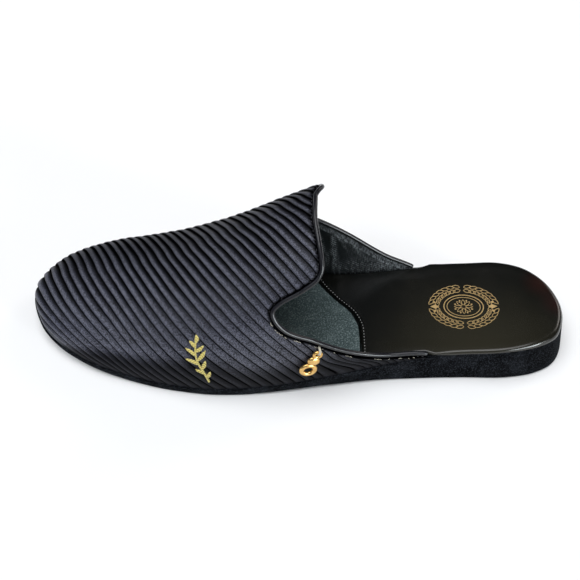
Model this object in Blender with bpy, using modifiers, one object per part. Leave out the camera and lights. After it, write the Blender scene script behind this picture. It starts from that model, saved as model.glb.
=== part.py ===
# Loafer slipper: a backless dress slipper for the left foot, modelled at real size.
# +X runs to the toe, +Y to the wearer's left and +Z up. The origin lies on the floor in the
# middle of the sole. Tables are in millimetres, with x from the back of the heel.
import math

import bmesh
import bpy
import numpy as np
from mathutils import Matrix, Vector

MM = 0.001
LENGTH = 300.0            # heel to toe of the sole
GAP = 0.3                 # clearance between neighbouring pieces
FOOT_GAP = 0.4            # clearance between the foot of the upper and the sole
WALL = 2.2                # satin, interlining and leather lining together
SHAPE_POWER = 2.3         # 2 is an ellipse, more is a squarer cross-section
CENTRE_Y = -5.0           # the ridge of the vamp, a little to the inner side
BELLY_POWER = 1.5         # how narrowly the bulge of the side wall is gathered half way up
POLE_X = 248.0            # where the ridge ends and the toe dome begins
PIPING_RADIUS = 1.05
PIPING_DROP = 1.5         # from the piping's centre down to the rim of the upper
TURN_WEIGHT = 16.0        # a radian of turn counts as this much length along the topline
HEEL_Y = 0.6              # the tip of the heel lies a little to the outer side
TOE_Y = -3.5              # the tip of the toe leans to the inner side
END_FLAT = 0.25           # how far short of its tip a plan outline is cut square

EYE_RADIUS = 1.85
EYE_WIRE = 0.9
BEAD_SIZE = (3.35, 3.1, 1.6)
BEAD_AT = 5.3             # from the middle of the eye to the middle of the bead
RING_RADIUS = 3.45
RING_WIRE = 1.35
RING_FLATTEN = 0.85
RING_AT = 12.6            # from the middle of the eye to the middle of the ring
CHARM_LIFT = 2.15         # from the vamp to the middle of the charm
CHARM_EYE = (136.4, 0.158)     # x and share of the vamp behind the eye
CHARM_FOOT = (142.2, 0.064)    # and behind the lower end of the charm
THREAD_RADIUS = 0.35
THREAD_BACK = 0.05        # how much further than the gap the thread's feet stop above the vamp

# how finely each piece is divided
OUTLINE_STEPS = 16
TOPLINE_STEPS = 12
SOLE_GRID = (34, 5)
HEEL_SOCK_GRID = (22, 8)
FRONT_SOCK_GRID = (20, 8)
UPPER_GRID = (30, 18, 14)      # rows up the wall, columns behind the toe dome, columns round it
PIPING_KNOTS = 52
CORD_SIDES = 8
EYE_SEGMENTS = (24, 12)
BEAD_SEGMENTS = (20, 12)
RING_SEGMENTS = (32, 12)
WELD = 0.00001                 # metres

# how the edges of the flat pieces are broken: set-in, and height above or below a level
SOLE_EDGE = {"tread": 1.6, "corner": (0.45, 0.35), "wall": 1.4, "rim": (0.5, 0.7)}
HEEL_EDGE = {"base": (0.5, 0.5), "wall": 1.0, "corner": (0.45, 0.3), "top": 1.3, "dish": 0.7}
FRONT_EDGE = (0.4, 0.5)

# half-widths of the sole either side of the long axis
OUTLINE = [dict(zip(("x", "inner", "outer"), row)) for row in (
    (6, 18.5, 20.5),
    (18, 29.5, 29.0),
    (35, 34.4, 33.2),
    (60, 34.2, 34.6),
    (100, 31.8, 38.6),
    (130, 31.0, 44.6),
    (160, 35.0, 50.6),
    (190, 41.5, 53.4),
    (205, 44.4, 52.8),
    (220, 45.6, 51.0),
    (240, 45.2, 46.8),
    (260, 42.0, 40.8),
    (280, 33.8, 30.0),
    (292, 23.2, 17.6),
)]

# heights along the shoe (under the sole, top edge of the suede, footbed, ridge of the vamp) and
# set-ins from the outline (leaning wall of the sole, foot of the upper, edge of the socks)
COLUMNS = ("x", "ground", "edge", "footbed", "ridge", "lean", "foot", "sock")
PROFILE = [dict(zip(COLUMNS, row)) for row in (
    (0, 0.0, 19.4, 22.6, 99.0, 3.5, 3.7, 4.4),
    (10, 0.0, 20.2, 23.4, 99.0, 3.3, 3.5, 4.2),
    (20, 0.0, 20.6, 23.8, 99.0, 2.9, 3.1, 3.8),
    (35, 0.0, 19.6, 22.8, 99.0, 2.3, 2.5, 3.2),
    (50, 0.0, 18.0, 21.2, 99.0, 2.2, 2.4, 3.1),
    (62, 0.0, 17.2, 20.4, 99.0, 2.2, 2.4, 3.1),
    (85, 0.0, 15.4, 18.5, 99.0, 1.7, 2.2, 5.1),
    (100, 0.5, 12.8, 15.8, 99.0, 1.2, 1.9, 4.8),
    (120, 1.4, 9.8, 12.6, 99.0, 0.7, 1.4, 4.3),
    (140, 1.8, 7.9, 10.5, 95.4, 0.3, 1.0, 3.9),
    (147, 1.7, 7.4, 10.0, 90.9, 0.2, 0.9, 3.9),
    (160, 1.2, 6.6, 9.1, 82.5, 0.1, 0.8, 3.9),
    (178, 0.0, 5.6, 8.0, 69.5, 0.0, 0.8, 3.9),
    (200, 0.0, 4.8, 7.2, 55.0, 0.0, 0.8, 3.9),
    (215, 0.0, 4.7, 7.1, 46.5, 0.0, 0.8, 3.9),
    (235, 0.5, 5.2, 7.6, 38.5, 0.0, 0.8, 3.9),
    (260, 2.8, 6.8, 9.2, 32.5, 0.0, 0.8, 3.9),
    (280, 5.4, 8.8, 11.2, 29.5, 0.0, 0.8, 3.9),
    (300, 8.6, 11.6, 14.0, 28.0, 0.0, 0.8, 3.9),
)]

# how far the wall of the upper bulges past the edge of the sole
BELLY = [dict(zip(("x", "inner", "outer"), row)) for row in (
    (80, 0.0, 0.0),
    (120, 4.5, 2.0),
    (150, 3.5, 2.0),
    (200, 1.0, 0.6),
    (240, 0.0, 0.0),
)]

# the topline from the rear end of each side wing to the middle of the tongue;
# share is 0 at the sole and 1 on the ridge
TOPLINE = [dict(zip(("outer_x", "outer_share", "inner_x", "inner_share"), row)) for row in (
    (79.5, 0.014, 84.5, 0.012),
    (104.0, 0.042, 101.5, 0.082),
    (122.0, 0.105, 119.5, 0.180),
    (139.5, 0.205, 132.5, 0.250),
    (153.0, 0.305, 149.0, 0.340),
    (158.6, 0.390, 158.3, 0.400),
    (159.5, 0.440, 159.5, 0.440),
    (155.5, 0.470, 155.5, 0.470),
    (146.0, 0.488, 147.6, 0.488),
    (139.2, 0.512, 143.6, 0.512),
    (136.6, 0.555, 142.3, 0.555),
    (137.0, 0.620, 141.4, 0.620),
    (139.2, 0.740, 139.3, 0.740),
    (141.2, 0.850, 138.4, 0.840),
    (141.7, 1.000, 141.7, 1.000),
)]

# the diagonal seam between the heel sock and the front sock
SEAM = [dict(zip(("y", "x"), row)) for row in (
    (-30, 142.0),
    (-21, 138.0),
    (-10, 130.0),
    (4, 118.0),
    (14, 114.5),
    (36, 113.5),
)]

# name: colour, roughness, metallic
MATERIALS = {
    "Suede": ((0.010, 0.013, 0.015), 0.95, 0.0),
    "Satin": ((0.030, 0.029, 0.038), 0.42, 0.0),
    "Piping": ((0.040, 0.040, 0.052), 0.36, 0.0),
    "SockSuede": ((0.026, 0.036, 0.034), 0.90, 0.0),
    "SockLeather": ((0.012, 0.011, 0.009), 0.30, 0.0),
    "Gold": ((0.80, 0.56, 0.22), 0.24, 1.0),
    "Thread": ((0.62, 0.55, 0.38), 0.60, 0.0),
}


def smooth(table, column, x, key="x"):
    """A monotone cubic through one column of a table."""
    xs = np.array([row[key] for row in table], float)
    ys = np.array([row[column] for row in table], float)
    step = np.diff(xs)
    rise = np.diff(ys) / step
    slope = np.zeros_like(ys)
    slope[0] = rise[0]
    slope[-1] = rise[-1]
    for i in range(1, len(xs) - 1):
        if rise[i - 1] * rise[i] > 0:
            before = 2 * step[i] + step[i - 1]
            after = step[i] + 2 * step[i - 1]
            slope[i] = (before + after) / (before / rise[i - 1] + after / rise[i])
    x = np.clip(np.asarray(x, float), xs[0], xs[-1])
    k = np.clip(np.searchsorted(xs, x, side="right") - 1, 0, len(xs) - 2)
    t = (x - xs[k]) / step[k]
    return ((1 + 2 * t) * (1 - t) ** 2 * ys[k] + t * (1 - t) ** 2 * step[k] * slope[k]
            + t * t * (3 - 2 * t) * ys[k + 1] + t * t * (t - 1) * step[k] * slope[k + 1])


def spline(points, each, closed=False):
    """A centripetal Catmull-Rom curve through the points."""
    points = np.array(points, float)
    count = len(points)
    if closed:
        order = [[(i + d) % count for d in (-1, 0, 1, 2)] for i in range(count)]
        line = points
    else:
        line = np.vstack([2 * points[0] - points[1], points, 2 * points[-1] - points[-2]])
        order = [[i, i + 1, i + 2, i + 3] for i in range(count - 1)]
    curve = []
    for four in order:
        a, b, c, d = line[four]
        t1 = np.linalg.norm(b - a) ** 0.5
        t2 = t1 + np.linalg.norm(c - b) ** 0.5
        t3 = t2 + np.linalg.norm(d - c) ** 0.5
        for t in np.linspace(t1, t2, each, endpoint=False):
            ab = (t1 - t) / t1 * a + t / t1 * b
            bc = (t2 - t) / (t2 - t1) * b + (t - t1) / (t2 - t1) * c
            cd = (t3 - t) / (t3 - t2) * c + (t - t2) / (t3 - t2) * d
            abc = (t2 - t) / t2 * ab + t / t2 * bc
            bcd = (t3 - t) / (t3 - t1) * bc + (t - t1) / (t3 - t1) * cd
            curve.append((t2 - t) / (t2 - t1) * abc + (t - t1) / (t2 - t1) * bcd)
    if not closed:
        curve.append(points[-1])
    return np.array(curve)


def soleOutline():
    outer = [(row["x"], row["outer"]) for row in OUTLINE]
    inner = [(row["x"], -row["inner"]) for row in reversed(OUTLINE)]
    return spline([(0.0, HEEL_Y)] + outer + [(LENGTH, TOE_Y)] + inner, OUTLINE_STEPS, closed=True)


EDGE = soleOutline()
MID_Y = (EDGE[:, 1].max() + EDGE[:, 1].min()) / 2


def height(column, x):
    return smooth(PROFILE, column, x)


def insetEdge(inset, column=None):
    """The sole's outline moved inwards, from the heel along the outer side and back."""
    along = np.roll(EDGE, -1, axis=0) - np.roll(EDGE, 1, axis=0)
    along /= np.linalg.norm(along, axis=1)[:, None]
    if column:
        inset = inset + height(column, EDGE[:, 0])[:, None]
    return EDGE + np.stack([along[:, 1], -along[:, 0]], 1) * inset


def halfEdge(x, outer, inset, column=None):
    """y of the inset outline at x, on the outer or the inner side."""
    line = insetEdge(inset, column)
    back, front = int(np.argmin(line[:, 0])), int(np.argmax(line[:, 0]))
    count = len(line)
    if outer:
        order = [(back + i) % count for i in range((front - back) % count + 1)]
    else:
        order = [(back - i) % count for i in range((back - front) % count + 1)]
    line = line[order]
    line = line[np.argsort(line[:, 0], kind="stable")]
    return np.interp(x, line[:, 0], line[:, 1])


def vampPoint(x, share, outer):
    """A point of the upper's outside, aft of the toe dome."""
    x = np.asarray(x, float)
    turn = np.asarray(share, float) * math.pi / 2
    out = np.cos(turn) ** (2 / SHAPE_POWER)
    up = np.sin(turn) ** (2 / SHAPE_POWER)
    foot = halfEdge(x, outer, 0.0, "foot")
    belly = smooth(BELLY, "outer" if outer else "inner", x) * (1 if outer else -1)
    swell = BELLY_POWER * np.abs(np.sin(2 * turn)) ** BELLY_POWER * np.cos(turn)
    low = height("edge", x) + FOOT_GAP
    y = CENTRE_Y + (foot - CENTRE_Y) * out + belly * swell
    z = low + (height("ridge", x) - low) * up
    return np.stack(np.broadcast_arrays(x, y, z), -1)


def toePoint(share, around):
    """A point of the toe dome; around runs from 0 on the outer side to 1 on the inner side."""
    pole = np.array([POLE_X, CENTRE_Y])
    edge = insetEdge(0.0, "foot")
    edge = edge[edge[:, 0] >= POLE_X]
    first = np.array([POLE_X, halfEdge(POLE_X, True, 0.0, "foot")])
    last = np.array([POLE_X, halfEdge(POLE_X, False, 0.0, "foot")])
    edge = edge[np.argsort(-np.arctan2(edge[:, 1] - pole[1], edge[:, 0] - pole[0]))]
    edge = np.vstack([first, edge, last])
    run = np.r_[0, np.cumsum(np.linalg.norm(np.diff(edge, axis=0), axis=1))]
    foot = np.array([np.interp(around * run[-1], run, edge[:, i]) for i in (0, 1)])
    turn = share * math.pi / 2
    plan = pole + (foot - pole) * math.cos(turn) ** (2 / SHAPE_POWER)
    low = float(height("edge", foot[0])) + FOOT_GAP
    top = float(height("ridge", plan[0]))
    z = low + (top - low) * math.sin(turn) ** (2 / SHAPE_POWER)
    return np.array([plan[0], plan[1], z])


def toplineKnots(count, outer):
    """x and share along one half of the topline, closer together where it turns."""
    side = "outer" if outer else "inner"
    percent = 100
    knots = spline([(row[side + "_x"], row[side + "_share"] * percent) for row in TOPLINE], TOPLINE_STEPS)
    knots[:, 1] /= percent
    place = vampPoint(knots[:, 0], knots[:, 1], outer)
    steps = np.diff(place, axis=0)
    length = np.linalg.norm(steps, axis=1)
    ways = steps / length[:, None]
    turn = np.arccos(np.clip((ways[1:] * ways[:-1]).sum(1), -1, 1))
    weight = length + TURN_WEIGHT * (np.r_[turn, 0] + np.r_[0, turn]) / 2
    run = np.r_[0, np.cumsum(weight)]
    want = np.linspace(0, run[-1], count)
    return np.stack([np.interp(want, run, knots[:, i]) for i in (0, 1)], 1)


def surfaceFrame(x, share, outer):
    """The point, its outward normal and the two steps along x and share."""
    here = vampPoint(x, share, outer)
    along = (vampPoint(x + 0.5, share, outer) - here) / 0.5
    step = 0.004 if share < 0.99 else -0.004
    across = (vampPoint(x, share + step, outer) - here) / step
    normal = np.cross(along, across) * (-1 if outer else 1)
    return here, normal / np.linalg.norm(normal), along, across


def loweredKnots(knots, drop, outer):
    """The topline moved down its own surface by a distance."""
    place = vampPoint(knots[:, 0], knots[:, 1], outer)
    moved = []
    for i, (x, share) in enumerate(knots):
        here, normal, along, across = surfaceFrame(x, share, outer)
        after = place[min(i + 1, len(place) - 1)]
        before = place[max(i - 1, 0)]
        line = (after - before) / np.linalg.norm(after - before)
        if i == len(place) - 1:
            line = np.array([0.0, -1.0 if outer else 1.0, 0.0])
        down = np.cross(line, normal) * (-1 if outer else 1)
        basis = np.stack([along, across], 1)
        step = np.linalg.lstsq(basis, down * drop, rcond=None)[0]
        moved.append((x + step[0], min(share + step[1], 1.0)))
    return np.array(moved)


def world(points):
    """Millimetres from the heel to metres about the middle of the sole."""
    return (np.array(points, float) - (LENGTH / 2, MID_Y, 0.0)) * MM


def clearScene():
    for obj in list(bpy.data.objects):
        bpy.data.objects.remove(obj, do_unlink=True)


def newCollection(name, hidden=False):
    group = bpy.data.collections.new(name)
    bpy.context.scene.collection.children.link(group)
    group.hide_render = hidden
    return group


def makeMaterial(name):
    colour, roughness, metallic = MATERIALS[name]
    material = bpy.data.materials.new(name)
    material.use_nodes = True
    shader = material.node_tree.nodes["Principled BSDF"]
    shader.inputs["Base Color"].default_value = (*colour, 1.0)
    shader.inputs["Roughness"].default_value = roughness
    shader.inputs["Metallic"].default_value = metallic
    return material


def addObject(name, mesh, group, material):
    obj = bpy.data.objects.new(name, mesh)
    group.objects.link(obj)
    mesh.materials.clear()
    mesh.materials.append(makeMaterial(material))
    return obj


def meshFrom(name, points, faces):
    mesh = bpy.data.meshes.new(name)
    mesh.from_pydata([tuple(p) for p in world(points)], [], faces)
    body = bmesh.new()
    body.from_mesh(mesh)
    bmesh.ops.remove_doubles(body, verts=body.verts, dist=2 * WELD)
    bmesh.ops.recalc_face_normals(body, faces=body.faces)
    body.to_mesh(mesh)
    body.free()
    mesh.shade_smooth()
    mesh.set_sharp_from_angle(angle=math.radians(40))
    return mesh


def planGrid(inset, column, ends, spacing, rows, columns, rearBow=None, frontBow=None):
    """Rows from the rear end to the front end, each running from the outer to the inner side."""
    grid = np.zeros((rows + 1, columns + 1, 2))
    across = np.linspace(0, 1, columns + 1)
    for i in range(rows + 1):
        t = spacing(i / rows)
        outerX = ends["outer"][0] + (ends["outer"][1] - ends["outer"][0]) * t
        innerX = ends["inner"][0] + (ends["inner"][1] - ends["inner"][0]) * t
        bow = np.zeros(columns + 1)
        if rearBow is not None:
            bow += rearBow * (1 - t)
        if frontBow is not None:
            bow += frontBow * t
        grid[i, :, 0] = outerX + (innerX - outerX) * across + bow
        outerY = halfEdge(outerX, True, inset, column)
        innerY = halfEdge(innerX, False, inset, column)
        grid[i, :, 1] = outerY + (innerY - outerY) * across
    return grid


def rim(rows, columns):
    """Indices of a grid's border, once round."""
    wide = columns + 1
    ring = [j for j in range(columns)]
    ring += [i * wide + columns for i in range(rows)]
    ring += [rows * wide + j for j in range(columns, 0, -1)]
    ring += [i * wide for i in range(rows, 0, -1)]
    return ring


def slab(name, levels, rows, columns):
    """A closed solid from plan grids stacked from the lowest to the highest level."""
    ring = rim(rows, columns)
    wide = columns + 1
    points = [tuple(p) for p in levels[0].reshape(-1, 3)]
    faces = []
    for i in range(rows):
        for j in range(columns):
            a = i * wide + j
            faces.append((a, a + 1, a + wide + 1, a + wide))
    lower = list(ring)
    for level in levels[1:-1]:
        flat = level.reshape(-1, 3)
        upper = list(range(len(points), len(points) + len(ring)))
        points += [tuple(flat[k]) for k in ring]
        for k in range(len(ring)):
            n = (k + 1) % len(ring)
            faces.append((lower[k], lower[n], upper[n], upper[k]))
        lower = upper
    base = len(points)
    points += [tuple(p) for p in levels[-1].reshape(-1, 3)]
    for k in range(len(ring)):
        n = (k + 1) % len(ring)
        faces.append((lower[k], lower[n], base + ring[n], base + ring[k]))
    for i in range(rows):
        for j in range(columns):
            a = base + i * wide + j
            faces.append((a, a + wide, a + wide + 1, a + 1))
    return meshFrom(name, points, faces)


def raised(grid, z):
    return np.concatenate([grid, np.broadcast_to(z, grid.shape[:2])[..., None]], -1)


def bothEnds(t):
    return 0.5 - 0.5 * math.cos(math.pi * t)


def rearEnd(t):
    return 1 - math.cos(math.pi / 2 * t)


def frontEnd(t):
    return math.sin(math.pi / 2 * t)


def makeOutsole(group):
    rows, columns = SOLE_GRID

    def level(inset, z, column=None):
        front = inset + END_FLAT
        rear = front + (float(height(column, 0.0)) if column else 0.0)
        ends = {"outer": (rear, LENGTH - front), "inner": (rear, LENGTH - front)}
        grid = planGrid(inset, column, ends, bothEnds, rows, columns)
        return raised(grid, z(grid[..., 0]))

    cornerIn, cornerUp = SOLE_EDGE["corner"]
    rimIn, rimDown = SOLE_EDGE["rim"]
    levels = [
        level(SOLE_EDGE["tread"], lambda x: height("ground", x)),
        level(cornerIn, lambda x: height("ground", x) + cornerUp),
        level(0.0, lambda x: height("ground", x) + SOLE_EDGE["wall"]),
        level(0.0, lambda x: height("edge", x) - rimDown, "lean"),
        level(rimIn, lambda x: height("edge", x), "lean"),
    ]
    return addObject("outsole", slab("outsole", levels, rows, columns), group, "Suede")


def sockSeam(inset, columns, shift):
    """The seam's bow off a straight line, and the x of its outer and inner ends."""
    outer = float(halfEdge(SEAM[-1]["x"], True, inset, "sock"))
    inner = float(halfEdge(SEAM[0]["x"], False, inset, "sock"))
    across = np.linspace(0, 1, columns + 1)
    seam = smooth(SEAM, "x", outer + (inner - outer) * across, key="y") + shift
    return seam - seam[0] - (seam[-1] - seam[0]) * across, seam[0], seam[-1]


def makeHeelSock(group):
    rows, columns = HEEL_SOCK_GRID

    def level(inset, z, dish=0.0):
        bow, outerX, innerX = sockSeam(inset, columns, -inset - GAP / 2)
        tip = inset + float(height("sock", 0.0)) + END_FLAT
        ends = {"outer": (tip, outerX), "inner": (tip, innerX)}
        grid = planGrid(inset, "sock", ends, rearEnd, rows, columns, frontBow=bow)
        sink = np.sin(np.linspace(0, math.pi, columns + 1))[None, :]
        sink = sink * np.sin(np.linspace(0.2, 1, rows + 1) * math.pi)[:, None]
        return raised(grid, z(grid[..., 0]) - dish * sink)

    baseIn, baseUp = HEEL_EDGE["base"]
    cornerIn, cornerDown = HEEL_EDGE["corner"]
    levels = [
        level(baseIn, lambda x: height("edge", x) + GAP),
        level(0.0, lambda x: height("edge", x) + GAP + baseUp),
        level(0.0, lambda x: height("footbed", x) - HEEL_EDGE["wall"]),
        level(cornerIn, lambda x: height("footbed", x) - cornerDown),
        level(HEEL_EDGE["top"], lambda x: height("footbed", x), dish=HEEL_EDGE["dish"]),
    ]
    return addObject("heel_sock", slab("heel_sock", levels, rows, columns), group, "SockLeather")


def makeFrontSock(group):
    rows, columns = FRONT_SOCK_GRID

    def level(inset, z):
        bow, outerX, innerX = sockSeam(inset, columns, inset + GAP / 2)
        tip = LENGTH - inset - float(height("sock", LENGTH)) - END_FLAT
        ends = {"outer": (outerX, tip), "inner": (innerX, tip)}
        grid = planGrid(inset, "sock", ends, frontEnd, rows, columns, rearBow=bow)
        return raised(grid, z(grid[..., 0]))

    topIn, topDown = FRONT_EDGE
    levels = [
        level(0.0, lambda x: height("edge", x) + GAP),
        level(0.0, lambda x: height("footbed", x) - topDown),
        level(topIn, lambda x: height("footbed", x)),
    ]
    return addObject("front_sock", slab("front_sock", levels, rows, columns), group, "SockSuede")


def upperRows(rows, back, dome):
    """The outside of the upper as rows that run from the outer topline round the toe."""
    outer = loweredKnots(toplineKnots(rows, True), PIPING_DROP, True)
    inner = loweredKnots(toplineKnots(rows, False), PIPING_DROP, False)
    outer = np.vstack([(outer[0][0], 0.0), outer])
    inner = np.vstack([(inner[0][0], 0.0), inner])
    grid = []
    for j in range(rows + 1):
        share = j / rows
        line = []
        for knots, side in ((outer, True), (inner, False)):
            t = np.linspace(0, 1, back + 1)
            x = knots[j][0] + (POLE_X - knots[j][0]) * t
            s = knots[j][1] + (share - knots[j][1]) * t
            line.append(vampPoint(x, s, side))
        toe = [toePoint(share, k / dome) for k in range(1, dome)]
        grid.append(np.vstack([line[0], toe, line[1][::-1]]))
    return np.array(grid)


def makeUpper(group):
    grid = upperRows(*UPPER_GRID)
    count, wide = grid.shape[:2]
    points = grid.reshape(-1, 3)
    faces = []
    for j in range(count - 1):
        for i in range(wide - 1):
            a = j * wide + i
            faces.append((a, a + 1, a + wide + 1, a + wide))
    mesh = meshFrom("upper", points, faces)
    obj = addObject("upper", mesh, group, "Satin")
    skin = obj.modifiers.new("Wall", "SOLIDIFY")
    skin.thickness = WALL * MM
    skin.offset = -1.0
    skin.use_even_offset = False
    return obj


def curveMesh(name, points, radius):
    """A round cord along the points, capped, as a welded mesh."""
    data = bpy.data.curves.new(name, "CURVE")
    data.dimensions = "3D"
    data.bevel_depth = radius * MM
    data.bevel_resolution = CORD_SIDES // 4
    data.use_fill_caps = True
    path = data.splines.new("POLY")
    path.points.add(len(points) - 1)
    for knot, place in zip(path.points, points):
        knot.co = (*place, 1.0)
    guide = bpy.data.objects.new(name + "_path", data)
    bpy.context.scene.collection.objects.link(guide)
    bpy.context.view_layer.update()
    solid = guide.evaluated_get(bpy.context.evaluated_depsgraph_get())
    mesh = bpy.data.meshes.new_from_object(solid)
    mesh.name = name
    body = bmesh.new()
    body.from_mesh(mesh)
    bmesh.ops.remove_doubles(body, verts=body.verts, dist=WELD)
    bmesh.ops.recalc_face_normals(body, faces=body.faces)
    body.to_mesh(mesh)
    body.free()
    bpy.data.objects.remove(guide)
    mesh.shade_smooth()
    mesh.set_sharp_from_angle(angle=math.radians(50))
    return mesh


def pipingRoute(count):
    route = []
    for outer in (True, False):
        half = []
        for x, share in toplineKnots(count, outer):
            here, normal, along, across = surfaceFrame(x, share, outer)
            half.append(here - normal * WALL / 2)
        route.append(half)
    return np.array(route[0] + route[1][:-1][::-1])


def makePiping(group):
    mesh = curveMesh("topline_piping", world(pipingRoute(PIPING_KNOTS)), PIPING_RADIUS)
    return addObject("topline_piping", mesh, group, "Piping")


def charmFrame():
    """Axes of the ornament: along its hinge, down the vamp and out of the vamp."""
    top, topNormal = surfaceFrame(*CHARM_EYE, True)[:2]
    foot, footNormal = surfaceFrame(*CHARM_FOOT, True)[:2]
    origin = top + topNormal * CHARM_LIFT
    down = foot + footNormal * CHARM_LIFT - origin
    down /= np.linalg.norm(down)
    hinge = np.cross(down, topNormal + footNormal)
    hinge /= np.linalg.norm(hinge)
    return origin, hinge, down, np.cross(hinge, down)


def ornamentMatrix():
    origin, hinge, down, normal = charmFrame()
    place = Matrix((hinge, down, normal)).transposed().to_4x4()
    place.translation = Vector(world(origin))
    return place


def primitiveMesh(name, scale=(1, 1, 1), shift=0.0):
    obj = bpy.context.object
    mesh = obj.data
    for vertex in mesh.vertices:
        vertex.co.x *= scale[0]
        vertex.co.y = vertex.co.y * scale[1] + shift * MM
        vertex.co.z *= scale[2]
    mesh.name = name
    bpy.data.objects.remove(obj)
    return mesh


def makeCharm(group, helpers):
    """Ring, bead and eye cast in one piece; its origin is the top of the eye, where it hangs."""
    place = ornamentMatrix()
    major, minor = EYE_SEGMENTS
    bpy.ops.mesh.primitive_torus_add(
        major_segments=major, minor_segments=minor, major_radius=EYE_RADIUS * MM, minor_radius=EYE_WIRE * MM)
    eye = primitiveMesh("charm", shift=EYE_RADIUS)
    major, minor = BEAD_SEGMENTS
    bpy.ops.mesh.primitive_uv_sphere_add(segments=major, ring_count=minor, radius=MM)
    bead = primitiveMesh("charm_bead", BEAD_SIZE, EYE_RADIUS + BEAD_AT)
    major, minor = RING_SEGMENTS
    bpy.ops.mesh.primitive_torus_add(
        major_segments=major, minor_segments=minor, major_radius=RING_RADIUS * MM, minor_radius=RING_WIRE * MM)
    ring = primitiveMesh("charm_ring", (1, 1, RING_FLATTEN), EYE_RADIUS + RING_AT)
    charm = addObject("charm", eye, group, "Gold")
    charm.matrix_world = place
    for mesh in (bead, ring):
        helper = bpy.data.objects.new(mesh.name, mesh)
        helpers.objects.link(helper)
        helper.matrix_world = place
        helper.hide_render = True
        helper.display_type = "WIRE"
        join = charm.modifiers.new("Join " + mesh.name, "BOOLEAN")
        join.operation = "UNION"
        join.object = helper
    for polygon in eye.polygons:
        polygon.use_smooth = True
    return charm


def makeThread(group):
    """The sewn loop that holds the eye: an arch over its top wire."""
    reach = EYE_WIRE + GAP + THREAD_RADIUS
    foot = -(CHARM_LIFT - GAP - THREAD_BACK)
    turns = [math.pi * k / CORD_SIDES for k in range(CORD_SIDES + 1)]
    arch = [(reach * math.cos(turn), reach * math.sin(turn)) for turn in turns]
    arch = [(reach, foot)] + arch + [(-reach, foot)]
    place = ornamentMatrix()
    points = [place @ Vector((0.0, y * MM, z * MM)) for y, z in arch]
    mesh = curveMesh("charm_thread", [tuple(p) for p in points], THREAD_RADIUS)
    return addObject("charm_thread", mesh, group, "Thread")


def main():
    clearScene()
    shoe = newCollection("loafer_slipper")
    helpers = newCollection("charm_shapes", hidden=True)
    makeOutsole(shoe)
    makeUpper(shoe)
    makePiping(shoe)
    makeFrontSock(shoe)
    makeHeelSock(shoe)
    makeCharm(shoe, helpers)
    makeThread(shoe)


main()
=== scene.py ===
import math

import bmesh
import bpy
import numpy as np
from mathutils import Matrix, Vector

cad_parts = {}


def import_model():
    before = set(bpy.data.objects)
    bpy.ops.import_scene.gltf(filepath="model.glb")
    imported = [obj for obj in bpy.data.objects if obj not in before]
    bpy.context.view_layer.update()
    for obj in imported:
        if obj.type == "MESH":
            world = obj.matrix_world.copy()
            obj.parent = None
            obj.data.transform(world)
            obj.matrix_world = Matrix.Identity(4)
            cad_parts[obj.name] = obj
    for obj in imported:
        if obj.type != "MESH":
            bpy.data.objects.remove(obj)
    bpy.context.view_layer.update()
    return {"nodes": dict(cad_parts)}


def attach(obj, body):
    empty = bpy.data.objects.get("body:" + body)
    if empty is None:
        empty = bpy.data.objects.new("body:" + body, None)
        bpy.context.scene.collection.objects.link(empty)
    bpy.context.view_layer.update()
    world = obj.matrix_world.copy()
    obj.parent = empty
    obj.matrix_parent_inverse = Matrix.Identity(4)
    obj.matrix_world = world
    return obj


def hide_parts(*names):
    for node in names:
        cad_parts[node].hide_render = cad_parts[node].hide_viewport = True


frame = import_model()
print("frame loaded:", ", ".join(sorted(frame["nodes"])))

# Shapes are worked out in millimetres from the back of the heel (x), across (y, outer side
# plus) and up (z); world() turns them into the frame's metres.
last = {
    "length": 300.0,
    "ridgeY": -5.0,       # the ridge of the vamp leans to the inner side
    "poleX": 248.0,       # the ridge ends here and the toe dome begins
    "toeY": -3.5,
    "squareness": 2.3,    # 2 is an ellipse
    "wall": 2.2,
    "gap": 0.3,
    "clearance": 0.1,     # between the upper's foot and that gap
    "swell": 1.5,         # size and sharpness of the wings' belly
    "cornerWeight": 16.0,  # rows of the topline gather where it turns
    "sharp": 50,          # edges steeper than this many degrees stay sharp
}


def table(names, *rows):
    return {name: np.array([row[i] for row in rows], float) for i, name in enumerate(names.split())}


outline = table(
    "x inner outer",
    (6, 18.5, 20.5), (18, 29.5, 29.0), (35, 34.4, 33.2), (60, 34.2, 34.6), (100, 31.8, 38.6),
    (130, 31.0, 44.6), (160, 35.0, 50.6), (190, 41.5, 53.4), (205, 44.4, 52.8), (220, 45.6, 51.0),
    (240, 45.2, 46.8), (260, 42.0, 40.8), (280, 33.8, 30.0), (292, 23.2, 17.6),
)

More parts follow.
